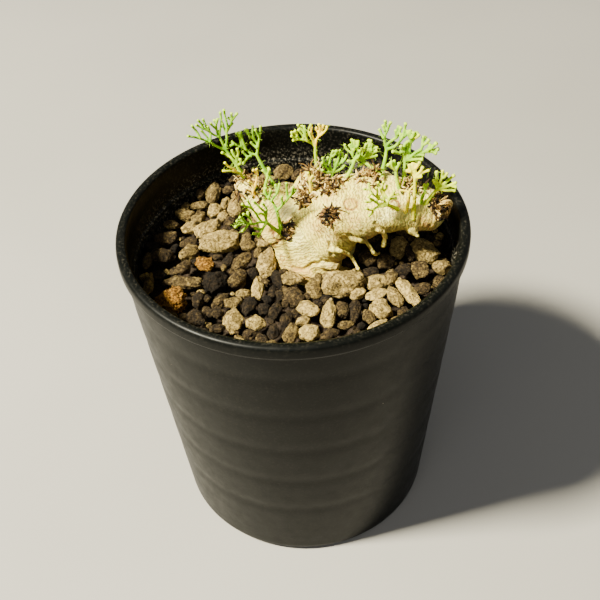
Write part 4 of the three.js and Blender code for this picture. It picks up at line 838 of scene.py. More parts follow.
grain_kinds = [
    rough_stone(f"grain_{i:02}", GRAIN_KIND_SEED + i, i % 2 == 0, COARSE) for i in range(GRAIN_KINDS)
]
lay_stones(
    "grains",
    grain_rows,
    *tumbled(grain_rows),
    [random_tone() - GRAINS_DARKER for _ in grain_rows],
    [0.0] * len(grain_rows),
    grain_kinds,
    [row[4] % GRAIN_KINDS for row in grain_rows],
    stone_material,
)


def mix_solid():
    """The dark mix below the stones: it fills the pot from the floor up, with a rough top. Its colour is
    darker than soil, painted shade for the deep gaps between the stones.
    """
    top = BED_SHOWN + SOIL_LINE
    across = np.linspace(0, inside_radius(top) - MIX_CLEARANCE, MIX_RINGS + 1)
    low, edge = FLOOR_TOP + MIX_CLEARANCE, FLOOR_TOP + MIX_BEVEL
    profile = [
        (0, low),
        (inside_radius(FLOOR_TOP) - MIX_BEVEL - MIX_CLEARANCE, low),
        (inside_radius(edge) - MIX_CLEARANCE, edge),
        *((radius, top) for radius in across[::-1]),
    ]
    points, faces = turned(profile, MIX_SIDES)
    rough = []
    for x, y, z in points:
        lift = noise.fractal(Vector((x, y, 0)) * 0.9, 0.6, 2.1, 4) if z > top - 0.01 else 0
        rough.append((x, y, z + MIX_ROUGHNESS * lift))
    return rough, faces


# The mix's dark colour is painted shade for the deep gaps between the stones.
mix = made("dark_mix", *mix_solid())
mix_material, mix_tree, mix_shader, mix_where = finish("dark_mix", roughness=1.0, specular_ior_level=0.1)
crumbs = cloudy(mix_tree, mix_where, 1.6, 5, 0.7)
mix_and_gap_shade = ramped(mix_tree, crumbs, MIX_AND_GAP_SHADE_TONES)
mix_tree.links.new(mix_and_gap_shade, mix_shader.inputs["Base Color"])
raised(mix_tree, mix_shader, crumbs, 0.6)
mix.data.materials.append(mix_material)
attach(mix, BODY)
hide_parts("gravel")

# The stem
# One pale swollen stem, wrinkled like thin hide over a fleshy body. It forks just above the stones; shoots
# that died left knobs and brown scars on it, and roots that grew in the air dried under the long limb.

# Balls from the soil line up, each row of balls one limb: x, y, z and radius.
LIMBS = [
    [(3.6, 1.5, -19, 2.2), (3.9, 1.5, -8, 6), (3.7, 1.6, -2.4, 7.6), (2, 3.2, 3.4, 6.6),
     (-0.8, 4.8, 6.8, 5.5), (-4.6, 6.4, 10, 4.4), (-8.8, 8.3, 13, 2.8)],
    [(6.2, 2.2, -3, 6.2), (8.4, 3.2, 4.6, 5.8), (9.4, 3.4, 8.4, 6.2)],
    [(6.4, 2, 7.6, 6), (12, 0.4, 10.8, 5), (18, -0.2, 12.3, 4.6), (24, -0.5, 12.6, 4.3),
     (28.4, -0.9, 11.8, 3.8)],
    [(7.5, 6.6, 8, 6.4), (12.5, 5.4, 11.4, 5.4), (18, 4.1, 12.9, 4.8), (24, 2.7, 12.9, 4.2),
     (28, 1.2, 12, 3.6)],
    [(4, 7.2, 7.8, 6.2), (5.2, 10.8, 11.2, 4)],
]
KNOBS = [
    (-3.9, 1.6, 6.8, 2.6),
    (9.2, -1.4, 12, 3.2),
    (14.2, -2, 11, 3.2),
    (8.4, -1.8, 5.4, 3.4),
    (17.5, 5.8, 15.5, 2.6),
]
AIR_ROOTS = [
    [(7.6, -4.3, 6.3, 0.5), (8.0, -5.4, 6.7, 0.42), (9.9, -5.8, 6.6, 0.38), (11, -5.2, 5.4, 0.36),
     (12.1, -4.9, 4, 0.34), (12.8, -5.3, 2.8, 0.33), (13.5, -6.3, 1.6, 0.36)],
    [(12.3, -4.4, 9, 0.5), (12.4, -5.5, 9.4, 0.42), (13.9, -5.9, 9.2, 0.38), (15.3, -4.9, 7.8, 0.36),
     (16.1, -5.2, 6.7, 0.36), (16.7, -5.6, 5.6, 0.34), (17.4, -5.2, 4.4, 0.3), (18.4, -3.3, 3.2, 0.2)],
    [(17.6, -4, 10.8, 0.5), (17.8, -4.9, 10.9, 0.45), (18.8, -4.7, 10.0, 0.45), (19.4, -3.9, 8, 0.4),
     (19.1, -4, 6, 0.42)],
    [(25.1, -3, 9.2, 1.15), (25, -4, 9.9, 1), (25.5, -4.5, 9.4, 0.6), (26.1, -5, 8.8, 0.26)],
    [(5.0, -3.0, 1.6, 1.3), (6.4, -4.4, 2.0, 1.1), (7.8, -5.0, 1.8, 0.95), (8.9, -4.9, 1.3, 0.8)],
    [(1.6, -3.2, -0.4, 1.2), (2.4, -4.8, 0.1, 0.85), (3.6, -5.9, 0.2, 0.55), (4.8, -6.6, -0.1, 0.3)],
]
STEM_BLEND = 3.0
KNOB_BLEND = 2.6
ROOT_BLEND = 0.6
WAVE_HEIGHT = 0.22
STEM_LOW = (-16, -14, -24)
STEM_HIGH = (38, 16, 26)
STEM_CELL = 0.26
COARSE_STEP = 4
STEM_STEP = 0.05
RELIEF_STEP = 0.2
SWELL_SCALE = 0.42
SWELL_HEIGHT = 0.22
PUCKER_STRETCH = (0.9, 0.9, 1.9)
PUCKER_SCALE = 1.1
PUCKER_SHIFT = (9, 4, 2)
PUCKER_SHARPNESS = 2.2
PUCKER_HEIGHT = 0.12
WRINKLE_RATE = 8.5
SURFACE_PULL = 0.8
# How wide a groove is, and how high its lip is, how far out and how wide.
RING_SHAPE = (0.22, 0.5, 0.5, 0.35)
HOLLOW_SHAPE = (1, 0.35, 1.6, 0.5)
FOLD_LIP = 0.3
# Painted shade in the folds' creases: how dark, and how wide against the fold.
FOLD_SHADE = 0.5
FOLD_SHADE_WIDTH = 1.2
RING_STAIN = 0.75
RING_STAIN_WIDTH = 0.3
# Painted shade: how strongly faces that look downward take the reddish-brown tint.
UNDERSIDE_SHADE = 0.6
LOW_BLUSH = 0.5
LOW_BLUSH_TOP = 3.2
LOW_BLUSH_FADE = 3.5
SKIN_TONES = ((0.3, "cdbd48"), (0.5, "e8d864"), (0.72, "f5eb8a"))
SKIN_PATCHES = "c9b27d"
BLUSH_AND_SHADE_COLOUR = "b87c3c"
# Painted shade: a dark olive for the crotch between the limbs and the low front under the long limb.
PAINTED_SHADE_COLOUR = "2c2c0e"
# Painted shade for the wrinkle grooves.
WRINKLE_SHADE_COLOUR = "6e5c24"
SCAR_TONES = ((0.35, "301806"), (0.52, "6e3e12"), (0.75, "a87432"))

# Folds in the skin: how deep, how wide, and the line that each follows.
FOLDS = [
    (0.4, 0.35, [(7.6, -4.9, 8.4), (7.6, -5.2, 7.1), (7.9, -5.4, 5.4)]),
    (0.35, 0.45, [(5.9, -4.6, 3.3), (7.6, -4.7, 2.7), (9.8, -3.8, 2.0), (11.7, -1.4, 0.6)]),
    (0.35, 0.4, [(11.6, -5.4, 10.6), (12.6, -5.4, 9.9), (13.9, -5.2, 9.4), (15.6, -5.0, 9.3)]),
    (0.3, 0.35, [(17.0, -4.9, 12.8), (17.7, -4.9, 12.0), (19.0, -4.6, 10.9), (20.8, -3.6, 9.4)]),
    (0.4, 0.4, [(-1.6, -4.0, 0.9), (0.6, -4.6, 1.1), (1.9, -5.0, 1.1), (3.7, -4.5, 2.3), (5.9, -4.5, 2.6)]),
    (0.3, 0.25, [(8.8, -1.9, 15.6), (10, -2.6, 15.5), (11.4, -2.9, 15.2)]),
    (0.25, 0.25, [(8.2, 2.5, 15.7), (7.7, 0.8, 15.4), (7.4, -0.6, 15.2)]),
    (0.3, 0.3, [(-5.1, 0.2, 4.5), (-3.8, -1.0, 5.7), (-2.2, -1.3, 7.0)]),
    (0.25, 0.3, [(26.4, -4.6, 11.6), (26.6, -4.4, 13.2), (27.0, -3.2, 15.2), (27.2, -1.0, 16.2)]),
    (0.3, 0.3, [(28.4, -4.5, 11.2), (29.0, -4.2, 13.4), (29.4, -2.6, 15.4), (29.4, -0.6, 16)]),
]
# Round scars: middle, radius of the ring, depth of its groove.
RING_SCARS = [
    ((12.3, -1.8, 15.8), 1.35, 0.25),
    ((7.4, -3.2, 14.0), 1.7, 0.2),
    ((-3.1, -1.0, 7.8), 1.1, 0.25),
    ((21.2, -3.2, 16.0), 1.0, 0.2),
    ((-2.6, -1.9, 2.0), 0.6, 0.2),
]
# Hollows where shoots rotted away: middle, reach and depth.
HOLLOWS = [
    ((7.3, -3.0, 14.2), 0.8, 0.6),
    ((3.0, 2.6, 13.6), 1.1, 1.1),
    ((-4.3, -0.5, 8.5), 0.7, 0.6),
    ((31.6, -2.0, 14.0), 1.2, 1.0),
    ((9.2, -5.1, 1.3), 0.5, 0.5),
    ((9.0, 3.6, 16.0), 0.7, 0.6),
    ((13.6, -2.6, 15.4), 0.3, 0.3),
]
# Where the skin is stained: middle, reach and strength.
SCARS = [
    ((7.3, -3.0, 14.1), 1.7, 1.0),
    ((9.0, -2.6, 15.3), 0.7, 0.7),
    ((5.4, -2.5, 13.0), 0.6, 0.8),
    ((3.0, 3.0, 13.7), 1.9, 1.0),
    ((3.8, 5.6, 14.4), 2.4, 0.8),
    ((-4.4, -0.4, 8.7), 0.8, 1.0),
    ((-1.6, -0.3, 9.4), 1.1, 0.9),
    ((-3.6, -1.0, 6.0), 0.5, 0.8),
    ((9.0, -5.0, 1.2), 0.6, 1.0),
    ((21.4, -3.2, 16.0), 0.9, 0.6),
    ((11.5, -5.4, 12.0), 0.35, 0.9),
    ((13.7, -4.6, 13.9), 0.25, 0.8),
    ((4.1, -3.7, 8.5), 0.3, 0.6),
    ((31.3, -2.2, 14.0), 2.2, 0.9),
    ((-9.3, 9.5, 15.5), 2.2, 0.9),
    ((5.8, 7.9, 14.9), 2.6, 0.8),
    ((9.2, 4.0, 16.0), 1.4, 0.7),
    ((17.9, 3.9, 18.2), 1.8, 0.5),
    ((25.6, 1.4, 17.3), 1.8, 0.6),
    ((2.6, -5.6, -0.6), 0.8, 0.5),
]
# Where it is reddish, in the same way.
BLUSHES = [
    ((12.3, -1.8, 15.8), 1.6, 0.9),
    ((9.2, -3.4, 14.8), 1.9, 0.9),
    ((5.4, -3.2, 11.2), 2.2, 0.75),
    ((8.6, -5.0, 10.4), 2.6, 0.6),
    ((12.4, -4.6, 13.2), 2.2, 0.45),
    ((-4.6, 0.8, 9.6), 2.4, 0.7),
    ((-4.6, 0.0, 5.4), 2.2, 0.6),
    ((8.0, 1.6, 15.6), 2.0, 0.6),
    ((27.8, -4.2, 11.4), 2.6, 0.7),
    ((16.6, -5.0, 10.0), 2.4, 0.5),
    ((9.4, -4.6, 2.0), 2.4, 0.8),
    ((0.6, -4.8, 0.4), 2.8, 0.5),
]
# Painted shade: where the skin is dark olive because it lies in shade, in the same way.
PAINTED_SHADE_SPOTS = [
    ((-1.2, 2.0, 11.8), 3.0, 1.0),
    ((0.9, 0.2, 11.0), 2.2, 0.8),
    ((0.8, -1.4, 9.0), 1.8, 0.4),
    ((13.4, -5.2, 9.4), 3.4, 0.6),
    ((9.0, -4.8, 4.0), 2.4, 0.6),
]


def chain_distance(points, chain):
    """How far each point is from a chain of balls joined by cones; less than zero inside."""
    nearest = np.full(len(points), np.inf)
    for (*start, start_radius), (*end, end_radius) in zip(chain, chain[1:]):
        start, end = np.array(start, float), np.array(end, float)
        along = end - start
        t = np.clip((points - start) @ along / (along @ along), 0, 1)
        reach = np.linalg.norm(points - start - t[:, None] * along, axis=1)
        nearest = np.minimum(nearest, reach - start_radius - t * (end_radius - start_radius))
    return nearest


def line_distance(points, line):
    return chain_distance(points, [(*spot, 0) for spot in line])


def ring_distance(points, middle, radius):
    """How far each point is from a ball's surface."""
    return np.abs(np.linalg.norm(points - middle, axis=1) - radius)


def blended(a, b, width):
    """The nearer of two distances, rounded where they meet."""
    h = np.maximum(width - np.abs(a - b), 0) / width
    return np.minimum(a, b) - h * h * width / 4


def stem_field(points):
    """Less than zero inside the stem and its air roots."""
    field = np.full(len(points), 1e3)
    for chain in LIMBS:
        field = blended(field, chain_distance(points, chain), STEM_BLEND)
    for *middle, radius in KNOBS:
        field = blended(field, np.linalg.norm(points - middle, axis=1) - radius, KNOB_BLEND)
    x, y, z = points.T
    field = field - WAVE_HEIGHT * np.sin(0.62 * x + 1.1) * np.sin(0.7 * y - 0.4) * np.sin(0.58 * z + 0.9)
    for chain in AIR_ROOTS:
        field = blended(field, chain_distance(points, chain), ROOT_BLEND)
    return field


def surface_of(field, low, high, cell):
    """Points and faces where a field is zero: one point in each cell of a grid that the surface crosses."""
    low = np.array(low, float)
    count = np.ceil((np.array(high) - low) / (cell * COARSE_STEP)).astype(int) * COARSE_STEP + 1
    axes = [low[i] + cell * np.arange(count[i]) for i in range(3)]
    blocks = [axis[::COARSE_STEP] for axis in axes]
    knots = np.stack(np.meshgrid(*blocks, indexing="ij"), -1).reshape(-1, 3)
    rough = field(knots).reshape([len(block) for block in blocks])
    values = rough[np.ix_(*(np.round(np.arange(n) / COARSE_STEP).astype(int) for n in count))]
    near = np.argwhere(np.abs(values) < (COARSE_STEP + 1) * cell)
    values[tuple(near.T)] = field(low + cell * near)
    inside = values < 0

    def shifted(i, j, k):
        return inside[i : count[0] - 1 + i, j : count[1] - 1 + j, k : count[2] - 1 + k]

    corners = sum(shifted(i, j, k).astype(int) for i in (0, 1) for j in (0, 1) for k in (0, 1))
    cells = np.argwhere((corners > 0) & (corners < 8))
    number = np.full(count - 1, -1)
    number[tuple(cells.T)] = np.arange(len(cells))
    total, crossings = np.zeros((len(cells), 3)), np.zeros(len(cells))
    for axis in range(3):
        for u in (0, 1):
            for v in (0, 1):
                start = cells.copy()
                start[:, (axis + 1) % 3] += u
                start[:, (axis + 2) % 3] += v
                end = start.copy()
                end[:, axis] += 1
                a, b = values[tuple(start.T)], values[tuple(end.T)]
                cut = (a < 0) != (b < 0)
                spot = start.astype(float)
                spot[:, axis] += np.where(cut, a / np.where(cut, a - b, 1), 0)
                total += spot * cut[:, None]
                crossings += cut
    points = low + cell * total / crossings[:, None]
    faces = []
    for axis in range(3):
        u, v = np.eye(3, dtype=int)[(axis + 1) % 3], np.eye(3, dtype=int)[(axis + 2) % 3]
        spots = np.argwhere(np.diff(inside.astype(np.int8), axis=axis) != 0)
        quads = np.stack([number[tuple((spots - w).T)] for w in (u + v, v, 0 * u, u)], 1)
        leaving = inside[tuple(spots.T)]
        faces.extend(quads[leaving].tolist())
        faces.extend(quads[~leaving][:, ::-1].tolist())
    return points, faces


def slopes(field, points, step=STEM_STEP):
    """The field at each point, and the way in which it grows."""
    here = field(points)
    ways = np.stack([field(points + step * np.eye(3)[i]) - here for i in range(3)], 1)
    return here, ways / np.linalg.norm(ways, axis=1)[:, None]


def stained(points, spots):
    """How strongly each point is marked by a list of middles, reaches and strengths."""
    marks = []
    for place, reach, strength in spots:
        marks.append(strength * bell(np.linalg.norm(points - place, axis=1) / reach))
    return np.max(marks, axis=0)


def pressed(height, reach, depth, width, lip, lip_reach, lip_width):
    """The relief with a groove pressed into it and a raised lip beside the groove."""
    return height - depth * bell(reach / width) + lip * depth * bell((reach - lip_reach) / lip_width)


def along_limbs(points):
    """How far each point lies along the limb that it is on."""
    nearest, along = np.full(len(points), np.inf), np.zeros(len(points))
    for chain in LIMBS[:3]:
        gone = 0.0
        for (*start, start_radius), (*end, _) in zip(chain, chain[1:]):
            start, way = np.array(start, float), np.array(end, float) - np.array(start, float)
            length = np.linalg.norm(way)
            t = (points - start) @ way / length**2
            held = np.clip(t, 0, 1)
            reach = np.linalg.norm(points - start - held[:, None] * way, axis=1) - start_radius
            closer = reach < nearest
            nearest = np.where(closer, reach, nearest)
            along = np.where(closer, gone + t * length, along)
            gone += length
    return along


stem_points, stem_faces = surface_of(stem_field, STEM_LOW, STEM_HIGH, STEM_CELL)
for _ in range(2):
    off, ways = slopes(stem_field, stem_points)
    stem_points = stem_points - SURFACE_PULL * off[:, None] * ways
_, ways = slopes(stem_field, stem_points, RELIEF_STEP)
swell = np.array([noise.noise(Vector(p) * SWELL_SCALE) for p in stem_points])
shift = Vector(PUCKER_SHIFT)
pucker = np.array([noise.noise(Vector(p) * PUCKER_SCALE + shift) for p in stem_points * PUCKER_STRETCH])
height = SWELL_HEIGHT * swell + PUCKER_HEIGHT * (1 - PUCKER_SHARPNESS * np.abs(pucker))
for depth, width, line in FOLDS:
    height = pressed(height, line_distance(stem_points, line), depth, width, FOLD_LIP, 2 * width, width)
for middle, radius, depth in RING_SCARS:
    height = pressed(height, ring_distance(stem_points, middle, radius), depth, *RING_SHAPE)
for middle, reach, depth in HOLLOWS:
    away = np.linalg.norm(stem_points - middle, axis=1) / reach
    height = pressed(height, away, depth, *HOLLOW_SHAPE)
stem_along = along_limbs(stem_points)
stem_points = stem_points + height[:, None] * ways

stem = made("swollen_stem", stem_points + (0, 0, SOIL_LINE), stem_faces)
low_down = np.clip((LOW_BLUSH_TOP - stem_points[:, 2]) / LOW_BLUSH_FADE, 0, 1)
# The folds' creases take the scars' browns: painted shade in the creases.
fold_shade = [bell(line_distance(stem_points, line) / (FOLD_SHADE_WIDTH * width)) for _, width, line in FOLDS]
ringed = [
    bell(ring_distance(stem_points, middle, radius) / RING_STAIN_WIDTH) for middle, radius, _ in RING_SCARS
]
marked = stained(stem_points, SCARS) + FOLD_SHADE * np.max(fold_shade, axis=0)
marked = marked + RING_STAIN * np.max(ringed, axis=0)
# Faces that look downward get the reddish-brown tint: painted shade on the undersides.
underside_shade = np.clip(-ways[:, 2] - 0.1, 0, 1)
blush_and_shade = stained(stem_points, BLUSHES) + UNDERSIDE_SHADE * underside_shade + LOW_BLUSH * low_down
mark(stem.data, "scar", np.clip(marked, 0, 1))
mark(stem.data, "blush_and_underside_shade", np.clip(blush_and_shade, 0, 1))
mark(stem.data, "painted_shade", stained(stem_points, PAINTED_SHADE_SPOTS))
mark(stem.data, "along", stem_along)


def skin_finish():
    material, tree, shader, where = finish(
        "pale_bark", roughness=0.6, specular_ior_level=0.35, subsurface_weight=0.12, subsurface_scale=0.0006
    )
    broad = cloudy(tree, where, 0.16, 3)
    middling = cloudy(tree, where, 0.8, 4, 0.6)
    fine = cloudy(tree, where, 4.5, 4, 0.65)
    skin = ramped(tree, broad, SKIN_TONES)
    skin = mixed(tree, levelled(tree, middling, 0.52, 0.75, 0, 0.35), skin, shade(SKIN_PATCHES))
    # Reddish patches, soil stain low down, and painted shade on the undersides.
    blush_and_underside_shade = reckoned(tree, "MULTIPLY", read(tree, "blush_and_underside_shade"), levelled(tree, middling, 0.3, 0.62, 0.2, 1))
    skin = mixed(tree, blush_and_underside_shade, skin, shade(BLUSH_AND_SHADE_COLOUR))
    # Painted shade: a dark olive where the skin lies in shade.
    skin = mixed(tree, reckoned(tree, "MULTIPLY", read(tree, "painted_shade"), 0.95), skin, shade(PAINTED_SHADE_COLOUR))
    # Wrinkle grooves along the limbs, sunk in the relief and darkened in the colour: painted shade.
    lines = reckoned(tree, "ADD", read(tree, "along"), levelled(tree, middling, 0, 1, -1.25, 1.25))
    lines = reckoned(tree, "SINE", reckoned(tree, "MULTIPLY", lines, WRINKLE_RATE), 0.0)
    grooves = levelled(tree, lines, -1, 0.2, 0, 1)
    strength = levelled(tree, cloudy(tree, where, 0.3, 2), 0.35, 0.65, 0.35, 0.85)
    wrinkle_shade = reckoned(tree, "MULTIPLY", reckoned(tree, "SUBTRACT", 1.0, grooves), strength)
    skin = mixed(tree, wrinkle_shade, skin, shade(WRINKLE_SHADE_COLOUR))
    # Scars in their own browns, and the folds' share of it, which is painted shade in the creases.
    scar_and_fold_shade = reckoned(tree, "MULTIPLY", read(tree, "scar"), levelled(tree, fine, 0.3, 0.6, 0.55, 1.1))
    skin = mixed(tree, levelled(tree, scar_and_fold_shade, 0.25, 0.8), skin, ramped(tree, fine, SCAR_TONES))
    tree.links.new(skin, shader.inputs["Base Color"])
    relief = reckoned(tree, "MULTIPLY", grooves, 0.5)
    relief = reckoned(tree, "ADD", relief, reckoned(tree, "MULTIPLY", fine, 0.6))
    raised(tree, shader, relief, 0.2, 0.9)
    return material


stem.data.materials.append(skin_finish())
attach(stem, BODY)
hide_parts("caudex")

# The leaves
# Finely cut leaves on thin stalks: each divides into twigs, round and fleshy, that end in swollen blunt tips.
# They are lime green, yellow when they age, with pale tips lightened further as a painted highlight on their
# round caps, and short pale hairs.

